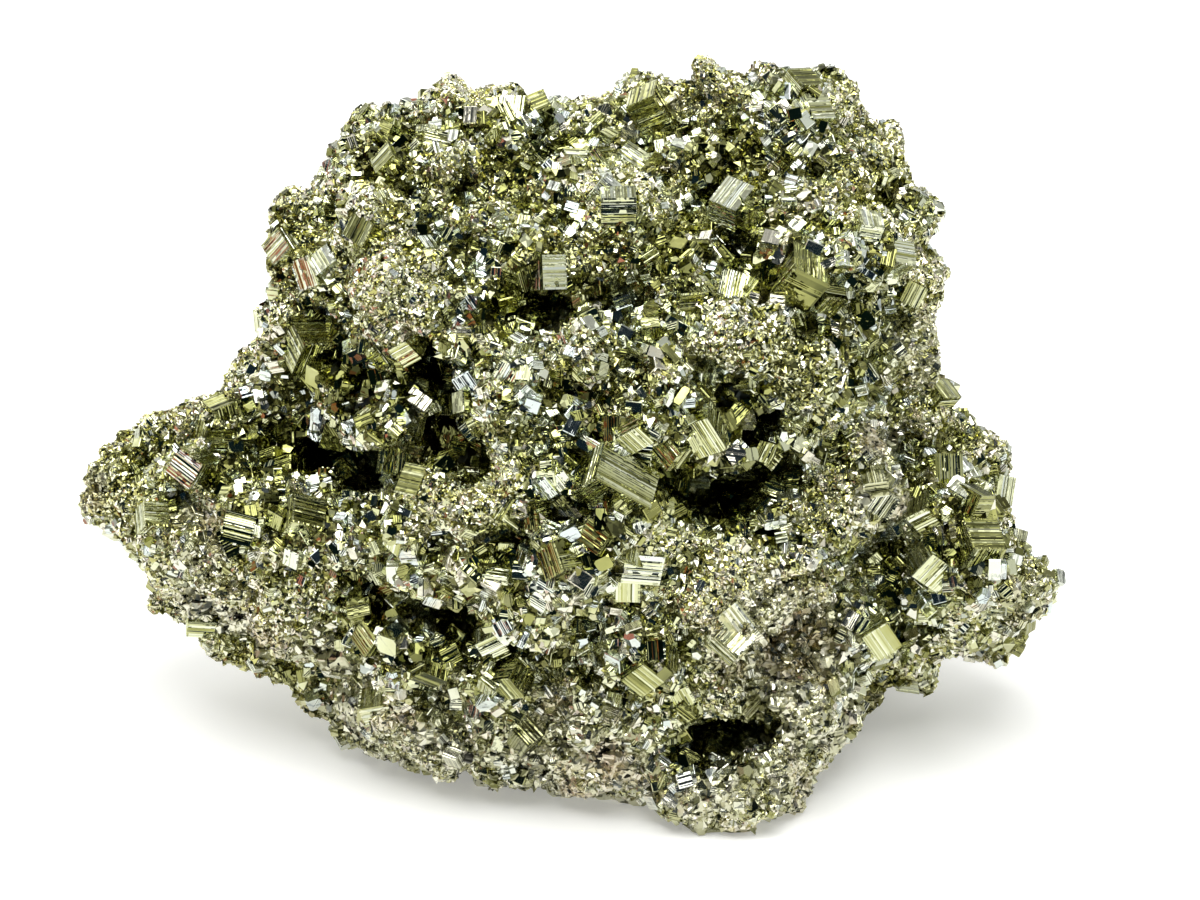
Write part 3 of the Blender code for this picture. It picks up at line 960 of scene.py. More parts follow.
    def dullness(self, points: Points, normals: Points) -> Points:
        """How broken and dull the cluster is.

        Args:
            points: places on the cluster.
            normals: the directions that it faces there.

        Returns:
            One value for each point, from 0 to 1.
        """
        across, rise = seen_from_front(points)
        low = np.clip((self.foot_height - points[:, 2]) / self.foot_fade, 0, 1)
        under = np.clip(-normals[:, 2] * self.under_gain, 0, 1)
        elsewhere = np.maximum(low * self.foot_dull, under * self.under_dull)
        front = elsewhere * self.on_face
        for patch in self.broken:
            front = np.maximum(front, patch.closeness(across, rise) * patch.value)
        value = np.where(on_crystal_face(points), front, elsewhere)
        swells = self.dull_usual + self.dull_change * slow_noise(points, self.dull_swell, DULL_NOISE)
        return np.clip(value * swells, 0, 1)


def on_crystal_face(points: Points) -> Points:
    """True for points in front of the cluster's middle."""
    return (points - np.array(FACE_MIDDLE)) @ np.array(toward_eye(SIGHT_DEG)) > 0


def facing_sight(normals: Points) -> Points:
    """How far each direction lies along the line of sight, either way, from 0 to 1."""
    return np.abs(normals @ np.array(toward_eye(SIGHT_DEG)))


def slow_noise(points: Points, size: float, seed: int) -> Points:
    """Smooth noise from -1 to 1.

    Args:
        points: where it is read.
        size: the width of one swell.
        seed: another number gives another pattern.

    Returns:
        One value for each point.
    """
    rng = np.random.default_rng(seed)
    total = np.zeros(len(points))
    for _ in range(WAVES):
        direction = rng.normal(size=3)
        direction *= 2 * math.pi / size / np.linalg.norm(direction) * rng.uniform(*WAVE_PACE)
        total += np.sin(points @ direction + rng.uniform(0, 2 * math.pi))
    return np.clip(total / WAVE_SUM, -1, 1)


@dataclass
class Block:
    """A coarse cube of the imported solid: its middle, its three axes as rows and its three sizes."""

    middle: Points
    axes: Points
    sizes: Points


def top_of(parent: list[int], number: int) -> int:
    """Finds the number that stands for a group, and shortens the way to it.

    Args:
        parent: for each number, one that stands nearer to the top of its group.
        number: a member of the group.

    Returns:
        The number at the top.
    """
    while parent[number] != number:
        parent[number] = parent[parent[number]]
        number = parent[number]
    return number


class PackedSolid:
    """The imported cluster's triangles, and what can be read off them."""

    smallest_area = 0.004  # of a triangle that is looked at, in square mm
    square_within = 0.002  # cosine between two triangles at right angles, at most
    level_within = 4e-6  # how far from 1 the cosine between two in one plane is, at most
    outward_by = 1e-4  # how far one has to fall away behind the other to make an outward edge
    axis_square_within = 0.004  # cosine between a cube's first two axes, at most
    least_face_area = 4.0  # of a coarse cube, in square mm
    along_axis = 0.999  # cosine from which a triangle belongs to one of a cube's faces
    has_face = 0.9  # cosine from which a cube counts as having a face on that side
    sunk_further = 0.8  # how far a cube goes on into the mass on a side without a face

    def __init__(self, source: bpy.types.Object) -> None:
        """Reads and welds the mesh.

        Args:
            source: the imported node.
        """
        mesh = source.data
        mesh.calc_loop_triangles()
        corners = read_values(mesh.loop_triangles, "vertices", 3, int)
        places = np.round(read_values(mesh.vertices, "co", 3) / MM, 4)
        self.points, welded = np.unique(places, axis=0, return_inverse=True)
        self.triangles = welded.ravel()[corners]
        a, b, c = (self.points[self.triangles[:, n]] for n in range(3))
        across = np.cross(b - a, c - a)
        self.areas = np.linalg.norm(across, axis=1) / 2
        self.normals = across / np.maximum(self.areas * 2, NO_AREA)[:, None]

    def sharp_groups(self) -> list[Points]:
        """Gathers triangles that lie in one plane or meet at an outward right angle.

        Returns:
            The triangle numbers of each group that has a right angle.
        """
        parent = list(range(len(self.triangles)))
        owner: dict[tuple[int, int], int] = {}
        square: set[int] = set()
        middles = self.points[self.triangles].mean(axis=1)
        for number, triangle in enumerate(self.triangles):
            if self.areas[number] < self.smallest_area:
                continue
            for n in range(3):
                first, second = int(triangle[n]), int(triangle[(n + 1) % 3])
                other = owner.setdefault((min(first, second), max(first, second)), number)
                if other == number:
                    continue
                turn = float(self.normals[number] @ self.normals[other])
                behind = (middles[number] - self.points[first]) @ self.normals[other] < -self.outward_by
                if abs(turn) < self.square_within and behind:
                    square.update((number, other))
                elif turn < 1 - self.level_within:
                    continue
                parent[top_of(parent, number)] = top_of(parent, other)
        groups: dict[int, list[int]] = {}
        for number in range(len(self.triangles)):
            groups.setdefault(top_of(parent, number), []).append(number)
        return [np.array(group) for group in groups.values() if square.intersection(group)]

    def blocks(self) -> list[Block]:
        """Finds the coarse cubes: groups of faces at right angles, boxed along their own axes.

        Returns:
            The cubes.
        """
        found = []
        for group in self.sharp_groups():
            order = group[np.argsort(-self.areas[group])]
            first = self.normals[order[0]]
            others = [n for n in order if abs(self.normals[n] @ first) < self.axis_square_within]
            if not others or self.areas[group].sum() < self.least_face_area:
                continue
            second = self.normals[others[0]]
            second = second - first * (first @ second)
            second /= np.linalg.norm(second)
            axes = np.stack((first, second, np.cross(first, second)))
            faces = np.abs(self.normals[group] @ axes.T).max(axis=1) > self.along_axis
            own = self.points[np.unique(self.triangles[group[faces]])] @ axes.T
            low, high = own.min(axis=0), own.max(axis=0)
            facing = self.normals[group[faces]] @ axes.T
            low -= np.where(facing.min(axis=0) < -self.has_face, 0.0, self.sunk_further)
            high += np.where(facing.max(axis=0) > self.has_face, 0.0, self.sunk_further)
            found.append(Block(axes.T @ ((low + high) / 2), axes, high - low))
        return found


@dataclass(frozen=True)
class Knobs:
    """Rounded knobs of small grains all over the skin, with creases between some of them."""

    width: float
    height: float
    crease: float  # how deep the creases are
    number: int  # tells their noises from those of other knobs
    level: float = 0.55  # how far from its middle a knob neither lifts nor sinks the skin, in widths
    crease_width: float = 0.13  # in widths of a knob
    crease_swell: float = 20.0  # width of the stretches that have creases
    crease_usual: float = 0.5  # how deep they are where they are neither deep nor shallow, as a share

    def lift(self, points: Points) -> Points:
        """How far they lift the skin.

        Args:
            points: places on the skin.

        Returns:
            One height for each point, under 0 in a crease.
        """
        nearest, next_nearest = cell_distances(points, self.width, self.number + KNOB_NOISE)
        swells = slow_noise(points, self.crease_swell, self.number + CREASE_NOISE)
        here = np.clip(self.crease_usual + swells, 0, 1)
        crease = np.exp(-(((next_nearest - nearest) / self.crease_width) ** 2))
        return self.height * (self.level - nearest) - self.crease * here * crease


@dataclass
class DruseSkin:
    """The skin between the crystals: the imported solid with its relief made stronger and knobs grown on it."""

    voxel: float = 1.05
    sunk: float = 0.15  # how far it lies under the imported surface, to make room for the crystals on it
    sunk_at_blocks: float = 0.5
    block_margin: float = 0.3  # how far from a coarse cube it is sunk like that
    knobs: tuple[Knobs, ...] = (Knobs(11.0, 0.8, 2.2, 0), Knobs(6.0, 1.1, 1.0, 1), Knobs(3.2, 0.8, 0.0, 2))
    smoothing_rounds: int = 70
    lump_gain: float = 0.35  # how much further lumps stand out, for their height
    deepest: float = 3.2
    highest: float = 0.9
    full_hollow: float = 2.4  # depth at which crystals grow freely
    cave: float = 3.2  # how much further the caves of the crystal face go in, away from the eye
    flat_under: float = 0.7  # height under which it lies flat on the base
    palest: float = 0.8  # its palest tone
    painted_shade_when_coarse: float = 0.8  # painted shade: how deep its tone is in the gaps between coarse crystals
    finish: PyriteFinish = DRUSE

    def build(self, source: bpy.types.Object, blocks: Sequence[Block], zones: Zones) -> bpy.types.Object:
        """Makes the skin.

        Args:
            source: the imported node, which it stands for.
            blocks: the coarse cubes, which it stays under.
            zones: where it is broken and dull.

        Returns:
            The skin.
        """
        solid = PackedSolid(source)
        mesh = bpy.data.meshes.new("druse_skin")
        mesh.from_pydata((solid.points * MM).tolist(), [], solid.triangles.tolist())
        made = add_object("druse_skin", mesh)
        remesh = made.modifiers.new("skin", "REMESH")
        remesh.mode = "VOXEL"
        remesh.voxel_size = self.voxel * MM
        bpy.context.view_layer.update()
        graph = bpy.context.evaluated_depsgraph_get()
        made.data = bpy.data.meshes.new_from_object(made.evaluated_get(graph))
        made.modifiers.clear()
        self.shape(made.data, blocks, zones)
        self.dress(made.data, zones)
        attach(made, BODY)
        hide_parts(NODE)
        return made

    def shape(self, mesh: bpy.types.Mesh, blocks: Sequence[Block], zones: Zones) -> None:
        """Makes lumps stand out and hollows deeper, grows the knobs and pushes the caves in.

        Args:
            mesh: the skin's.
            blocks: the coarse cubes, which it stays under.
            zones: where the caves are, and where dips don't count as hollows.
        """
        points = read_values(mesh.vertices, "co", 3) / MM
        normals = read_values(mesh.vertices, "normal", 3)
        even = smoothed(points, read_values(mesh.edges, "vertices", 2, int), self.smoothing_rounds)
        height = np.einsum("ij,ij->i", points - even, normals)
        height = np.where(height < 0, height * (1 - zones.inside(zones.level, points)), height)
        depth = zones.inside(zones.caves, points)
        store_values(mesh, "hollow", "POINT", np.maximum(np.clip(-height / self.full_hollow, 0, 1), depth))
        lift = np.where(height < 0, height, height * self.lump_gain)
        for knobs in self.knobs:
            lift += knobs.lift(points)
        lift = np.clip(lift - self.sunk, -self.deepest, self.highest)
        held = ~clear_of_blocks(points, blocks, -self.block_margin)
        lift[held] = -self.sunk_at_blocks
        inward = np.where(held, 0.0, self.cave * depth**2)
        points = points + normals * lift[:, None] - np.array(toward_eye(SIGHT_DEG)) * inward[:, None]
        low, high = np.array(CAD_BOX) / MM
        points = np.clip(points, low, high)
        points[points[:, 2] < self.flat_under, 2] = 0.0
        mesh.vertices.foreach_set("co", (points * MM).ravel())
        mesh.update()

    def dress(self, mesh: bpy.types.Mesh, zones: Zones) -> None:
        """Gives the skin its material, its dullness and a tone that painted shade deepens in its hollows and
        caves and between coarse crystals.

        Args:
            mesh: the skin's.
            zones: where it is coarse, where painted shade deepens its tone, and where it is dull.
        """
        surface = SurfacePoints(mesh)
        # painted shade in the gaps between coarse crystals
        gaps = self.painted_shade_when_coarse * np.clip(zones.coarseness(surface.middles, surface.hollows), 0, 1)
        shade = np.maximum(zones.shade(surface.middles, surface.hollows), gaps)
        store_values(mesh, "tone", "FACE", surface.by_face(mesh, self.palest * (1 - shade)))
        centres = read_values(mesh.polygons, "center", 3) / MM
        dulls = zones.dullness(centres, read_values(mesh.polygons, "normal", 3))
        store_values(mesh, "dull", "FACE", dulls)
        mesh.polygons.foreach_set("use_smooth", np.zeros(len(mesh.polygons), bool))
        mesh.materials.clear()
        mesh.materials.append(self.finish.material())


def smoothed(points: Points, edges: Points, rounds: int) -> Points:
    """Evens out a mesh.

    Args:
        points: its corners.
        edges: pairs of corner numbers.
        rounds: how many times each corner moves half way to the middle of its neighbours.

    Returns:
        The new places of the corners.
    """
    near = np.concatenate((edges[:, 0], edges[:, 1]))
    far = np.concatenate((edges[:, 1], edges[:, 0]))
    neighbours = np.maximum(np.bincount(near, minlength=len(points)), 1)[:, None]
    for _ in range(rounds):
        total = [np.bincount(near, points[far, axis], len(points)) for axis in range(3)]
        points = (points + np.stack(total, axis=1) / neighbours) / 2
    return points


def cell_distances(points: Points, size: float, seed: int) -> tuple[Points, Points]:
    """How far each point is from the middles of the two cells nearest to it, in cell widths.

    Args:
        points: places on the skin.
        size: the width of a cell.
        seed: another number gives another pattern.

    Returns:
        For each point, the nearest distance, from 0 to about 0.8, and the next.
    """
    rng = np.random.default_rng(seed)
    offset = rng.uniform(0, size, 3)
    low = np.floor((points.min(axis=0) + offset) / size).astype(int) - 1
    span = np.floor((points.max(axis=0) + offset) / size).astype(int) + 2 - low
    middles = rng.uniform(*CELL_ROOM, (*span, 3))
    place = (points + offset) / size - low
    cell = np.floor(place).astype(int)
    nearest = np.full(len(points), np.inf)
    next_nearest = nearest.copy()
    for step in product((-1, 0, 1), repeat=3):
        other = np.clip(cell + np.array(step), 0, span - 1)
        gap = np.linalg.norm(place - other - middles[tuple(other.T)], axis=1)
        next_nearest = np.minimum(next_nearest, np.maximum(gap, nearest))
        nearest = np.minimum(nearest, gap)
    return nearest, next_nearest


class SurfacePoints:
    """The skin's triangles, for seating crystals on them."""

    looks_up = 0.3  # how far up a triangle has to face to hold crystals at any height

    def __init__(self, mesh: bpy.types.Mesh) -> None:
        """Reads the triangles.

        Args:
            mesh: the skin's, with its attribute hollow.
        """
        mesh.calc_loop_triangles()
        corners = read_values(mesh.loop_triangles, "vertices", 3, int)
        self.corners = (read_values(mesh.vertices, "co", 3) / MM)[corners]
        hollows = read_values(mesh.attributes["hollow"].data, "value", 1, np.float32)
        self.hollows = hollows[corners].mean(axis=1)
        edges = np.cross(self.corners[:, 1] - self.corners[:, 0], self.corners[:, 2] - self.corners[:, 0])
        length = np.linalg.norm(edges, axis=1)
        self.areas = length / 2
        self.normals = edges / np.maximum(length, NO_AREA)[:, None]
        self.middles = self.corners.mean(axis=1)

    def by_face(self, mesh: bpy.types.Mesh, values: Points) -> Points:
        """Spreads one value for each triangle over the faces of the mesh.

        Args:
            mesh: the skin's.
            values: one for each triangle.

        Returns:
            One for each face.
        """
        made = np.zeros(len(mesh.polygons))
        made[read_values(mesh.loop_triangles, "polygon_index", 1, int)] = values
        return made

    def above(self, height: float) -> Points:
        """True for the triangles that lie above this height, or that look up."""
        return (self.middles[:, 2] > height) | (self.normals[:, 2] > self.looks_up)

    def sample(self, count: int, weights: Points, rng: Chance) -> tuple[Points, Points, Points]:
        """Picks points on the surface.

        Args:
            count: how many.
            weights: how likely each triangle is, for its area.
            rng: the source of chance.

        Returns:
            The points, the normals there and how deep in a hollow they are.
        """
        chance = self.areas * weights
        picked = rng.choice(len(chance), size=count, p=chance / chance.sum())
        first, second = rng.random(count), rng.random(count)
        over = first + second > 1
        first[over], second[over] = 1 - first[over], 1 - second[over]
        a, b, c = (self.corners[picked, n] for n in range(3))
        points = a + (b - a) * first[:, None] + (c - a) * second[:, None]
        return points, self.normals[picked], self.hollows[picked]


@dataclass
class Ground:
    """What the crystals grow on."""

    skin: SurfacePoints
    blocks: Sequence[Block]  # the coarse cubes, which keep their faces clear
    zones: Zones


def random_turns(count: int, rng: Chance) -> Points:
    """Turns that favour no direction.

    Args:
        count: how many.
        rng: the source of chance.

    Returns:
        N matrices.
    """
    q = rng.normal(size=(count, 4))
    q /= np.linalg.norm(q, axis=1)[:, None]
    w, x, y, z = q.T
    rows = (
        (1 - 2 * (y * y + z * z), 2 * (x * y - z * w), 2 * (x * z + y * w)),
        (2 * (x * y + z * w), 1 - 2 * (x * x + z * z), 2 * (y * z - x * w)),
        (2 * (x * z - y * w), 2 * (y * z + x * w), 1 - 2 * (x * x + y * y)),
    )
    return np.stack([np.stack(row, axis=1) for row in rows], axis=1)


def small_turns(count: int, most_deg: float, rng: Chance) -> Points:
    """Turns of up to a few degrees about any axis.

    Args:
        count: how many.
        most_deg: the largest turn.
        rng: the source of chance.

    Returns:
        N matrices.
    """
    angle = np.radians(rng.uniform(0, most_deg, count))
    axis = rng.normal(size=(count, 3))
    axis /= np.linalg.norm(axis, axis=1)[:, None]
    x, y, z = axis.T
    zero = np.zeros(count)
    cross = np.stack((zero, -z, y, z, zero, -x, -y, x, zero), axis=1).reshape(-1, 3, 3)
    sine, rest = np.sin(angle)[:, None, None], (1 - np.cos(angle))[:, None, None]
    return np.eye(3) + sine * cross + rest * (cross @ cross)


def clear_of_blocks(points: Points, blocks: Sequence[Block], margin: float) -> Points:
    """True for the points that no coarse cube holds.

    Args:
        points: places on the skin.
        blocks: the coarse cubes.
        margin: how far inside a cube a point has to be to count as held.

    Returns:
        One truth value for each point.
    """
    clear = np.ones(len(points), bool)
    for block in blocks:
        near = np.flatnonzero(np.abs(points - block.middle).max(axis=1) < block.sizes.max())
        own = np.abs((points[near] - block.middle) @ block.axes.T)
        clear[near[np.all(own < block.sizes / 2 - margin, axis=1)]] = False
    return clear


def with_room(places: Points, sizes: Points, spacing: float) -> list[int]:
    """Picks the places that keep their distance from the ones picked before them.

    Args:
        places: those that matter most first.
        sizes: what stands on each of them.
        spacing: the least distance between two, for their sizes added up.

    Returns:
        The numbers of the places picked.
    """
    cells: dict[tuple[int, ...], list[int]] = {}
    around = list(product((-1, 0, 1), repeat=3))
    keys = np.floor(places / sizes.max()).astype(int).tolist()
    picked = []
    for number, (i, j, k) in enumerate(keys):
        near = [other for a, b, c in around for other in cells.get((i + a, j + b, k + c), ())]
        gaps = np.linalg.norm(places[near] - places[number], axis=1)
        if np.all(gaps > spacing * (sizes[near] + sizes[number])):
            cells.setdefault((i, j, k), []).append(number)
            picked.append(number)
    return picked


@dataclass
class StriatedCubes:
    """The coarse cubes, with parallel steps on each of their faces, square to the next face's."""

    step_widths: tuple[float, float] = (0.22, 0.62)
    step_height: float = 0.085
    step_heights: tuple[float, float] = (0.25, 1.0)  # as shares of that
    step_tops: tuple[float, float] = (0.15, 0.85)  # where in a step it is highest, as shares of its width
    smooth_share: float = 0.05  # share of faces with only a few low steps
    smooth_wider: float = 5.0
    smooth_lower: float = 0.35
    inset: float = 0.10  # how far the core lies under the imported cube's faces
    plate_gap: float = 0.35  # how far the plates' edges lie in from the cube's, as a share of inset
    plate_foot: float = 0.5  # how far the steps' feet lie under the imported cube's faces, as a share of inset
    plate_root: float = 0.25  # how far the plates go into the core
    dull_share: float = 0.6
    tones: tuple[float, float] = (0.05, 0.5)  # the lowest, and how far they go above it
    # how much painted shade takes from the tone of a cube in a cave
    painted_shade_in_caves: float = 0.7
    tone_change: float = 0.12  # from one step to the next
    finish: PyriteFinish = CRYSTAL_FACE

    def build(self, blocks: Sequence[Block], zones: Zones, rng: Chance) -> bpy.types.Object:
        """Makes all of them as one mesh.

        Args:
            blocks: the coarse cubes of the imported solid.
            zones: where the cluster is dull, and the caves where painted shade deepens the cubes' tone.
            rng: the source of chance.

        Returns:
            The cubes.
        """
        middles = np.array([block.middle for block in blocks])
        lowest, span = self.tones
        # painted shade: cubes in caves get deeper tones
        lit = 1 - self.painted_shade_in_caves * zones.inside(zones.caves, middles)
        cores = Placed(
            Habit.CUBE,
            centres=middles,
            turns=np.array([block.axes.T for block in blocks]),
            sizes=np.array([block.sizes - 2 * self.inset for block in blocks]),
            tones=lowest + span * rng.random(len(blocks)) * lit,
            dulls=zones.dullness(middles, np.zeros_like(middles)) * self.dull_share,
        )
        parts = [cores.faces()]
        for block, tone, dull in zip(blocks, cores.tones, cores.dulls):
            for side, sign in product(range(3), (-1, 1)):
                parts.append(self.plate(block, side, sign, tone, dull, rng))
        return write_mesh("striated_cubes", parts, self.finish.material())

    def plate(self, block: Block, side: int, sign: int, tone: float, dull: float, rng: Chance) -> Faces:
        """Makes the thin stepped plate on one face of a cube.

        Args:
            block: the cube.
            side: the axis that the face looks along.
            sign: which way along it.
            tone: the cube's tone.
            dull: the cube's dullness.
            rng: the source of chance.

        Returns:
            The plate, a closed shape.
        """
        along, over = (side + 1) % 3, (side + 2) % 3
        wide = block.sizes[over] - 2 * self.inset * self.plate_gap
        long = block.sizes[along] - 2 * self.inset * self.plate_gap
        steps = self.profile(wide, rng)
        top = block.sizes[side] / 2
        root = top - self.inset - self.plate_root
        outline = [(steps[0][0], root)]
        outline += [(place, top - self.inset * self.plate_foot + height) for place, height in steps]
        outline += [(steps[-1][0], root)]
        count = len(outline)
        local = np.zeros((2 * count, 3))
        for end, place in enumerate((-long / 2, long / 2)):
            rows = slice(end * count, (end + 1) * count)
            local[rows, along] = place
            local[rows, over] = [x for x, _ in outline]
            local[rows, side] = [sign * y for _, y in outline]
        faces = [[n, (n + 1) % count, count + (n + 1) % count, count + n] for n in range(count)]
        faces += [list(range(count))[::-1], list(range(count, 2 * count))]
        if self.inside_out(local, faces):
            faces = [face[::-1] for face in faces]
        loops = np.concatenate(faces)
        return Faces(
            points=block.middle + local @ block.axes,
            loops=loops,
            sizes=np.array([len(face) for face in faces]),
            tones=np.clip(tone + rng.normal(0, self.tone_change, len(faces)), 0, 1),
            dulls=np.full(len(faces), dull),
            maps=local[loops][:, [over, along]],
            owners=np.zeros(len(faces), int),
        )

    def profile(self, wide: float, rng: Chance) -> list[tuple[float, float]]:
        """Draws the steps across a face.

        Args:
            wide: the face's width.
            rng: the source of chance.

        Returns:
            Places and heights, from edge to edge.
        """
        made = [(-wide / 2, 0.0)]
        place = -wide / 2
        smooth = rng.random() < self.smooth_share
        wider, lower = (self.smooth_wider, self.smooth_lower) if smooth else (1.0, 1.0)
        while True:
            step = rng.uniform(*self.step_widths) * wider
            if place + 2 * step > wide / 2:
                break
            height = rng.uniform(*self.step_heights) * self.step_height * lower
            rise = rng.uniform(*self.step_tops) * step
            made += [(place + rise, height), (place + step, 0.0)]
            place += step
        made.append((wide / 2, 0.0))
        return made

    def inside_out(self, points: Points, faces: Iterable[list[int]]) -> bool:
        """Tells whether a closed shape's faces look inwards.

        Args:
            points: its corners.
            faces: the corner numbers of each face.

        Returns:
            True if they do.
        """
        volume = 0.0
        for face in faces:
            for n in range(1, len(face) - 1):
                volume += np.dot(points[face[0]], np.cross(points[face[n]], points[face[n + 1]]))
        return volume < 0


@dataclass
class WholeCrystals:
    """Cubes, bricks and pyritohedra of one to three millimetres, half sunk in the skin."""

    tries: int = 66000
    sizes: tuple[float, float] = (1.0, 3.6)
    mostly_small: float = 2.6  # the higher, the fewer are large
    least_for_place: float = 0.2  # share of the range of sizes that is left where crystals are finest
    smaller_at_rims: float = 0.45
    rim_from: float = 0.5  # how far a place has to face the eye not to count as a rim
    spacing: float = 0.31  # least distance between two, in their sizes added up
    block_margin: float = 0.2  # how far they keep from a coarse cube
    lowest_seat: float = 1.2  # where the skin looks down
    base_gap: float = 0.05  # how far they stay above the base
    crowd_least: float = 0.03  # how many there are where crystals are finest
    crowd_power: float = 1.3
    gone_when_broken: float = 0.93  # share of them that is gone where the cluster is broken
    sunk: tuple[float, float] = (-0.38, 0.04)  # place of a crystal's middle over the skin, in its sizes
    uneven: tuple[float, float] = (0.75, 1.15)  # a crystal's three sizes, for its size
    thinnest: float = 0.4  # thickness of the thinnest slab, for its width
    large_from: float = 1.6
    small_habits: tuple[tuple[Habit, float], ...] = ((Habit.CUBE, 0.9), (Habit.PYRITOHEDRON, 0.1))
    large_habits: tuple[tuple[Habit, float], ...] = (
        (Habit.WORN_CUBE, 0.5),
        (Habit.CUT_CUBE, 0.15),
        (Habit.PYRITOHEDRON, 0.35),
    )
    kin: float = 0.45  # share of crystals that stand nearly parallel to their neighbours
    kin_patch: float = 7.0
    kin_deg: float = 12.0
    painted_shade_depth: float = 0.85  # painted shade: how much of its tone a crystal loses in the deepest place
    painted_shade_share: float = 0.8  # share of crystals that painted shade darkens
    most_triangles: int = 150000  # in one piece
    finish: PyriteFinish = CRYSTAL_FACE

    def seats(self, ground: Ground, rng: Chance) -> tuple[Points, Points, Points, Points]:
        """Picks places with room for a crystal, the largest first.

        Args:
            ground: what they stand on.
            rng: the source of chance.

        Returns:
            The places, the normals there, how deep in a hollow they are, and the sizes.
        """
        skin, zones = ground.skin, ground.zones
        coarse = zones.coarseness(skin.middles, skin.hollows)
        whole = 1 - self.gone_when_broken * zones.dullness(skin.middles, skin.normals)
        weights = (self.crowd_least + coarse**self.crowd_power) * skin.above(self.lowest_seat) * whole
        places, normals, hollows = skin.sample(self.tries, weights, rng)
        small, large = self.sizes
        drawn = rng.random(len(places)) ** (self.mostly_small - hollows)
        least, coarse = self.least_for_place, zones.coarseness(places, hollows)
        sizes = small + (large - small) * drawn * (least + (1 - least) * coarse)
        sizes *= 1 - self.smaller_at_rims * (1 - np.clip(facing_sight(normals) / self.rim_from, 0, 1))
        order = np.argsort(-sizes)
        order = order[clear_of_blocks(places[order], ground.blocks, -self.block_margin)]
        order = order[with_room(places[order], sizes[order], self.spacing)]
        return places[order], normals[order], hollows[order], sizes[order]

    def turns(self, places: Points, rng: Chance) -> Points:
        """Turns each crystal: some share the turn of the patch that they stand in.

        Args:
            places: where they stand.
            rng: the source of chance.

        Returns:
            N matrices.
        """
        free = random_turns(len(places), rng)
        patch = np.floor(places / self.kin_patch).astype(int)
        _, which = np.unique(patch, axis=0, return_inverse=True)
        shared = random_turns(int(which.max()) + 1, rng)[which.ravel()]
        near = np.einsum("nij,njk->nik", small_turns(len(places), self.kin_deg, rng), shared)
        return np.where((rng.random(len(places)) < self.kin)[:, None, None], near, free)

    def drawn(self, shares: Sequence[tuple[Habit, float]], count: int, rng: Chance) -> Points:
        """Draws a habit's name for each of count crystals, each habit as often as its share says."""
        return rng.choice([habit.value for habit, _ in shares], count, p=[share for _, share in shares])

    def build(self, ground: Ground, rng: Chance) -> tuple[list[bpy.types.Object], Points, Points]:
        """Makes them.

        Args:
            ground: what they stand on.
            rng: the source of chance.

        Returns:
            The pieces, and the places and sizes of the crystals.
        """
        zones = ground.zones
        places, normals, hollows, sizes = self.seats(ground, rng)
        count = len(places)
        shapes = sizes[:, None] * rng.uniform(*self.uneven, (count, 3))
        shapes[:, 0] *= rng.uniform(self.thinnest, 1.0, count)
        sunk = rng.uniform(*self.sunk, count) * sizes
        turns = self.turns(places, rng)
        tones = rng.random(count)
        # painted shade and painted reflection from Zones.shade deepen the tones of most crystals
        deep = zones.shade(places, hollows) * (rng.random(count) < self.painted_shade_share)
        every = Placed(
            Habit.CUBE,
            centres=places + normals * sunk[:, None],
            turns=turns,
            sizes=shapes,
            tones=tones * (1 - self.painted_shade_depth * deep),
            dulls=zones.dullness(places, normals),
        )
        large = self.drawn(self.large_habits, count, rng)
        small = self.drawn(self.small_habits, count, rng)
        habits = np.where(sizes > self.large_from, large, small)
        standing = every.lowest() > self.base_gap
        material = self.finish.material()
        made = []
        for habit in (Habit.CUBE, Habit.WORN_CUBE, Habit.CUT_CUBE, Habit.PYRITOHEDRON):
            group = replace(every.part(standing & (habits == habit.value)), habit=habit)
            share = self.most_triangles // sum(len(face) - 2 for face in habit.shape().faces)
            for letter, first in zip(LETTERS, range(0, len(group.centres), share)):
                part = group.part(slice(first, first + share))
                made.append(write_mesh(f"{habit.value}_{letter}", [part.faces()], material))
        return made, places[standing], sizes[standing]


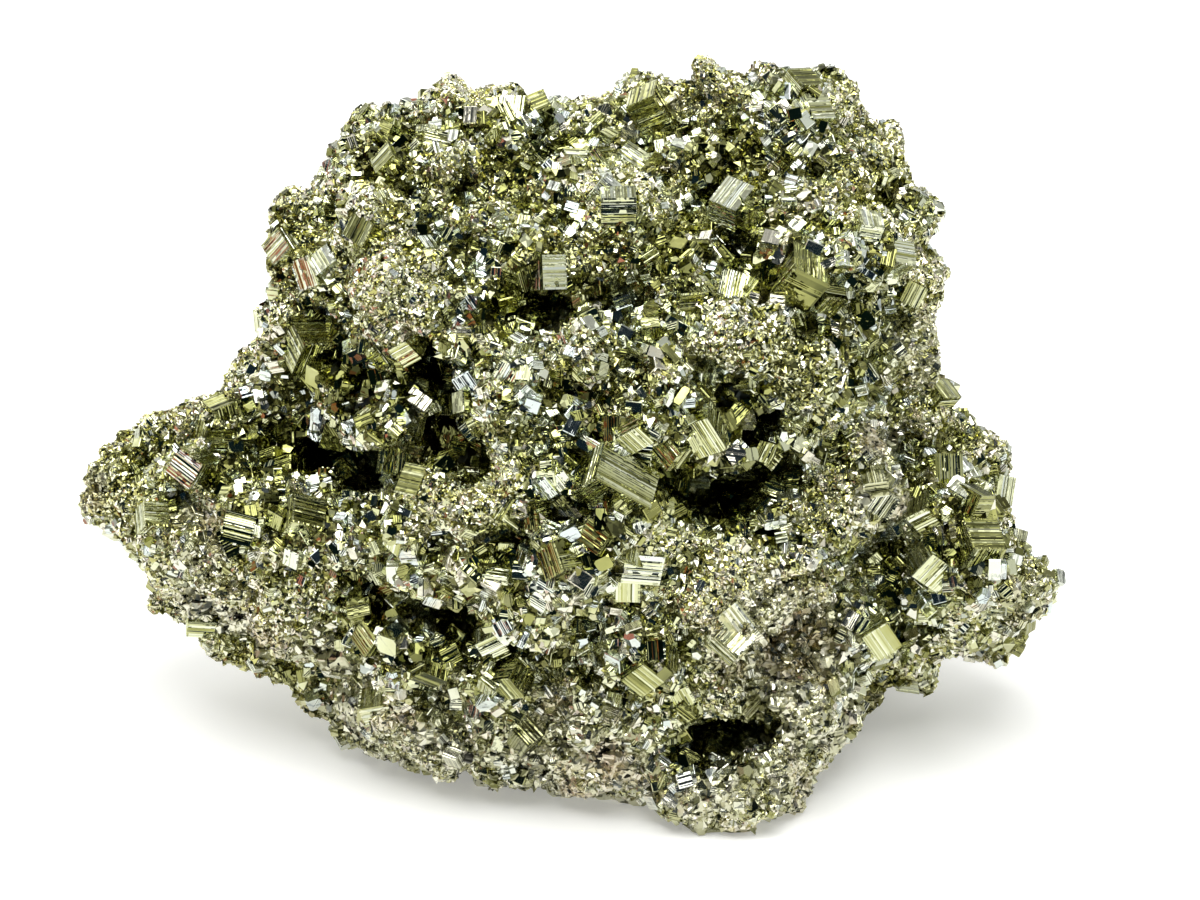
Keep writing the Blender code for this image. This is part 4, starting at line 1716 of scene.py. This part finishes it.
@dataclass
class SugarGrains:
    """The finest crystals with a shape of their own: cube corners, half a millimetre to one and a half."""

    tries: int = 89000
    legs: tuple[float, float] = (0.55, 1.6)
    mostly_short: float = 1.5  # the higher, the fewer are large
    least_for_place: float = 0.5  # share of the range of sizes that is left where crystals are finest
    uneven: tuple[float, float] = (0.75, 1.3)  # the lengths of a grain's three edges, for its size
    lean_deg: float = 38.0
    sunk: float = 0.16  # how far its lowest corners lie under the skin
    block_margin: float = 0.1  # how far they keep from a coarse cube
    lowest_seat: float = 0.8  # where the skin looks down
    base_gap: float = 1.15  # how far they stay above the base, in their sizes
    fewer_when_coarse: float = 0.75
    fewer_in_hollows: float = 0.92
    left_when_broken: float = 0.62  # share of the grains that stay where the cluster is broken
    finest_size: float = 0.6  # of a grain where crystals are finest, for its size where they are coarsest
    crowd_power: float = 1.5
    cover: float = 0.42  # how far from its middle a whole crystal covers the skin, in its sizes
    painted_shade_depth: float = 0.8  # painted shade: how much of its tone a grain loses in the deepest place
    pieces: int = 4
    finish: PyriteFinish = SUGAR

    def uncovered(self, skin: SurfacePoints, places: Points, sizes: Points) -> Points:
        """Tells which of the skin's triangles no larger crystal covers.

        Args:
            skin: the surface.
            places: where the whole crystals stand.
            sizes: how large those are.

        Returns:
            For each triangle, 1 or, where it is covered, 0.
        """
        tree = kdtree.KDTree(len(places))
        for n, place in enumerate(places):
            tree.insert(Vector(place), n)
        tree.balance()
        made = np.ones(len(skin.middles))
        for n, middle in enumerate(skin.middles):
            _, which, distance = tree.find(Vector(middle))
            if distance < self.cover * sizes[which]:
                made[n] = 0.0
        return made

    def weights(self, ground: Ground, places: Points, sizes: Points) -> Points:
        """Tells how thickly the skin's triangles are strewn with grains.

        Args:
            ground: what they stand on.
            places: where the whole crystals stand.
            sizes: how large those are.

        Returns:
            One value for each triangle.
        """
        skin, zones = ground.skin, ground.zones
        coarse = np.clip(zones.coarseness(skin.middles, skin.hollows), 0, 1)
        crowd = 1 - self.fewer_when_coarse * coarse**self.crowd_power
        crowd = crowd / (self.finest_size + (1 - self.finest_size) * coarse) ** self.crowd_power
        made = self.uncovered(skin, places, sizes) * skin.above(self.lowest_seat) * crowd
        made = made * (1 - self.fewer_in_hollows * skin.hollows)
        return made * (1 - (1 - self.left_when_broken) * zones.dullness(skin.middles, skin.normals))

    def build(self, ground: Ground, places: Points, sizes: Points, rng: Chance) -> list[bpy.types.Object]:
        """Makes them.

        Args:
            ground: what they stand on.
            places: where the whole crystals stand.
            sizes: how large those are.
            rng: the source of chance.

        Returns:
            The pieces.
        """
        weights = self.weights(ground, places, sizes)
        seats, normals, hollows = ground.skin.sample(self.tries, weights, rng)
        clear = clear_of_blocks(seats, ground.blocks, -self.block_margin)
        seats, normals, hollows = seats[clear], normals[clear], hollows[clear]
        count = len(seats)
        small, large = self.legs
        least, coarse = self.least_for_place, ground.zones.coarseness(seats, hollows)
        drawn = rng.random(count) ** self.mostly_short
        leg = small + (large - small) * drawn * (least + (1 - least) * coarse)
        lean = small_turns(count, self.lean_deg, rng)
        turns = self.corner_turns(np.einsum("nij,nj->ni", lean, normals), rng)
        lengths = leg[:, None] * rng.uniform(*self.uneven, (count, 3))
        # painted shade and painted reflection deepen the tones
        tones = rng.random(count) * (1 - self.painted_shade_depth * ground.zones.shade(seats, hollows))
        tip_height = leg * TIP_HEIGHT - self.sunk
        every = Placed(
            Habit.CORNER,
            centres=seats + normals * tip_height[:, None],
            turns=turns,
            sizes=lengths,
            tones=tones,
            dulls=ground.zones.dullness(seats, normals),
        ).part(seats[:, 2] > self.base_gap * leg)
        material = self.finish.material()
        share = math.ceil(len(every.centres) / self.pieces)
        made = []
        for letter, first in zip(LETTERS, range(0, len(every.centres), share)):
            part = every.part(slice(first, first + share))
            made.append(write_mesh(f"sugar_{letter}", [part.faces()], material))
        return made

    def corner_turns(self, tips: Points, rng: Chance) -> Points:
        """Turns that point a cube corner's tip outwards.

        Args:
            tips: the directions that the tips point in.
            rng: the source of chance.

        Returns:
            N matrices whose columns are the three edges that run from the tip into the skin.
        """
        helper = rng.normal(size=(len(tips), 3))
        first = np.cross(tips, helper)
        first /= np.linalg.norm(first, axis=1)[:, None]
        second = np.cross(tips, first)
        spread, drop = math.sqrt(2 / 3), 1 / math.sqrt(3)
        columns = []
        for third in range(3):
            angle = 2 * math.pi * third / 3
            flat = math.cos(angle) * first + math.sin(angle) * second
            columns.append(spread * flat - drop * tips)
        made = np.stack(columns, axis=2)
        mirrored = np.linalg.det(made) < 0
        made[mirrored] = made[mirrored][:, :, [0, 2, 1]]
        return made


@dataclass(frozen=True)
class Glow:
    """A round patch of one colour on the walls of the room."""

    toward: tuple[float, float, float]  # direction of its middle
    rim_deg: tuple[float, float]  # how far from its middle it starts, and how far from it it is full
    colour: str


@dataclass
class Studio:
    """Camera, floor and soft light."""

    look_at: tuple[float, float, float] = (5.0, 17.72, 39.88)
    frame_width: float = 200.0
    lens: float = 135.0
    sensor: float = 36.0
    clip_m: tuple[float, float] = (0.01, 20.0)  # nearest and farthest that the camera sees, in metres
    floor_near: float = -240.0
    floor_far: float = 900.0
    floor_half_width: float = 420.0
    floor_gap: float = 0.2  # how far the floor lies under the base, so that the two surfaces don't coincide
    # How bright the room is from straight down to straight up, and how the noise on its walls changes that.
    sky: Stops = ((0.0, 0.02), (0.47, 0.08), (0.53, 0.28), (0.72, 0.55), (1.0, 0.75))
    walls: Stops = ((0.38, 0.14), (0.5, 0.5), (0.6, 1.0))
    walls_scale: float = 1.9  # of the noise, for a room of radius 1
    walls_gain: float = 4.2
    glows: tuple[Glow, ...] = (
        Glow(toward_eye(16.0), (64.0, 50.0), "#12222C"),  # the viewer's side is dark
        Glow((1.0, -0.25, 0.25), (33.0, 27.0), "#E8EAE6"),
        Glow((-1.0, -0.25, 0.35), (19.0, 13.0), "#C0C2BE"),
        Glow((0.8, -0.6, -0.12), (24.0, 18.0), "#E8E8E4"),
        Glow((0.3, 1.0, 0.5), (27.0, 21.0), "#BCBEB9"),
        Glow((-0.9, -0.45, -0.02), (17.0, 11.0), "#CE826D"),
    )
    backdrop: str = "#FBFBFA"
    softbox_size: float = 720.0
    softbox_place: tuple[float, float, float] = (40.0, -330.0, 850.0)
    softbox_power: float = 6.4  # in watts
    floor_finish: PaperFloor = field(default_factory=PaperFloor)

    def camera(self) -> bpy.types.Object:
        """Sets up the camera on the crystal face.

        Returns:
            The camera.
        """
        back = Vector(toward_eye(SIGHT_DEG))
        data = bpy.data.cameras.new("camera")
        data.lens = self.lens
        data.sensor_width = self.sensor
        data.clip_start, data.clip_end = self.clip_m
        made = add_object("camera", data)
        aim(made, (Vector(self.look_at) + back * self.frame_width * self.lens / self.sensor) * MM, -back)
        bpy.context.scene.camera = made
        return made

    def floor(self) -> bpy.types.Object:
        """Lays the floor.

        Returns:
            The floor.
        """
        wide, near, far = (size * MM for size in (self.floor_half_width, self.floor_near, self.floor_far))
        mesh = bpy.data.meshes.new("floor")
        corners = [(-wide, near, 0), (wide, near, 0), (wide, far, 0), (-wide, far, 0)]
        mesh.from_pydata(corners, [], [(0, 1, 2, 3)])
        mesh.materials.append(self.floor_finish.material())
        made = add_object("floor", mesh)
        made.location.z = -self.floor_gap * MM
        return made

    def softbox(self) -> bpy.types.Object:
        """Hangs the large soft light overhead.

        Returns:
            The light.
        """
        data = bpy.data.lights.new("softbox", "AREA")
        data.shape = "DISK"
        data.size = self.softbox_size * MM
        data.energy = self.softbox_power
        made = add_object("softbox", data)
        place = Vector(self.softbox_place) * MM
        aim(made, place, -place)
        return made

    def room(self) -> bpy.types.World:
        """Makes the room round the cluster: pale above, darker at eye level and dark on the viewer's side.

        Returns:
            The world that holds it.
        """
        world = bpy.data.worlds.new("room")
        world.use_nodes = True
        tree = world.node_tree
        tree.nodes.clear()
        way = add_node(tree, "ShaderNodeTexCoord").outputs["Generated"]
        parts = add_node(tree, "ShaderNodeSeparateXYZ", {0: way})
        height = add_node(tree, "ShaderNodeMapRange", {"Value": parts.outputs["Z"]}, From_Min=-1.0)
        sky = add_node(tree, "ShaderNodeValToRGB", {"Fac": height.outputs[0]}, stops=self.sky)
        noise = add_node(tree, "ShaderNodeTexNoise", {"Vector": way}, Scale=self.walls_scale, Detail=1.0)
        walls = add_node(tree, "ShaderNodeValToRGB", {"Fac": noise.outputs["Fac"]}, stops=self.walls)
        both = {0: sky.outputs["Color"], 1: walls.outputs["Color"]}
        uneven = add_node(tree, "ShaderNodeMath", both, operation="MULTIPLY")
        brighter = {0: uneven.outputs[0], 1: self.walls_gain}
        lit = add_node(tree, "ShaderNodeMath", brighter, operation="MULTIPLY").outputs[0]
        for glow in self.glows:
            lit = self.laid(tree, way, lit, glow)
        seen = add_node(tree, "ShaderNodeLightPath").outputs["Is Camera Ray"]
        shown = {"Factor": seen, 6: lit, 7: linear(self.backdrop)}
        colour = add_node(tree, "ShaderNodeMix", shown, data_type="RGBA").outputs[2]
        light = add_node(tree, "ShaderNodeBackground", {"Color": colour}, Strength=1.0)
        add_node(tree, "ShaderNodeOutputWorld", {"Surface": light.outputs[0]})
        bpy.context.scene.world = world
        return world

    def laid(self, tree: Tree, way: Socket, under: Socket, glow: Glow) -> Socket:
        """Lays a patch on the walls of the room.

        Args:
            tree: the world's node tree.
            way: the direction that is looked in.
            under: the colour that it is laid on.
            glow: the patch.

        Returns:
            The socket that gives the colour with the patch on it.
        """
        middle = Vector(glow.toward).normalized()
        near = add_node(tree, "ShaderNodeVectorMath", {0: way, 1: middle}, operation="DOT_PRODUCT")
        outer, inner = (math.cos(math.radians(angle)) for angle in glow.rim_deg)
        amount = add_node(
            tree,
            "ShaderNodeMapRange",
            {"Value": near.outputs["Value"]},
            From_Min=outer,
            From_Max=inner,
        )
        mixed = {"Factor": amount.outputs[0], 6: under, 7: linear(glow.colour)}
        return add_node(tree, "ShaderNodeMix", mixed, data_type="RGBA").outputs[2]

    def build(self) -> None:
        """Sets up all of it, with colours shown as they are."""
        for step in (self.camera, self.floor, self.softbox, self.room):
            step()
        bpy.context.scene.view_settings.view_transform = "Standard"


@dataclass
class PyriteCluster:
    """The whole cluster, built from its skin outwards."""

    zones: Zones = field(default_factory=Zones)
    skin: DruseSkin = field(default_factory=DruseSkin)
    cubes: StriatedCubes = field(default_factory=StriatedCubes)
    crystals: WholeCrystals = field(default_factory=WholeCrystals)
    sugar: SugarGrains = field(default_factory=SugarGrains)

    def build(self, source: bpy.types.Object) -> list[bpy.types.Object]:
        """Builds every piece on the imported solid.

        Args:
            source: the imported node.

        Returns:
            The pieces.
        """
        rng = np.random.default_rng(SEED)
        blocks = PackedSolid(source).blocks()
        LOG.info("%d coarse cubes found in the packed solid", len(blocks))
        skin = self.skin.build(source, blocks, self.zones)
        ground = Ground(SurfacePoints(skin.data), blocks, self.zones)
        cubes = self.cubes.build(blocks, self.zones, rng)
        crystals, places, sizes = self.crystals.build(ground, rng)
        sugar = self.sugar.build(ground, places, sizes, rng)
        return [skin, cubes, *crystals, *sugar]


def triangle_count(made: bpy.types.Object) -> int:
    """How many triangles an object has."""
    return int((read_values(made.data.polygons, "loop_total", 1, int) - 2).sum())


def main() -> None:
    """Builds the studio and the cluster and reports each piece."""
    logging.basicConfig(level=logging.INFO, format="%(name)s: %(message)s")
    Studio().build()
    total = 0
    for piece in PyriteCluster().build(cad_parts[NODE]):
        count = triangle_count(piece)
        total += count
        LOG.info("%s: %d triangles", piece.name, count)
    LOG.info("all pieces: %d triangles", total)


if __name__ == "__main__":
    main()
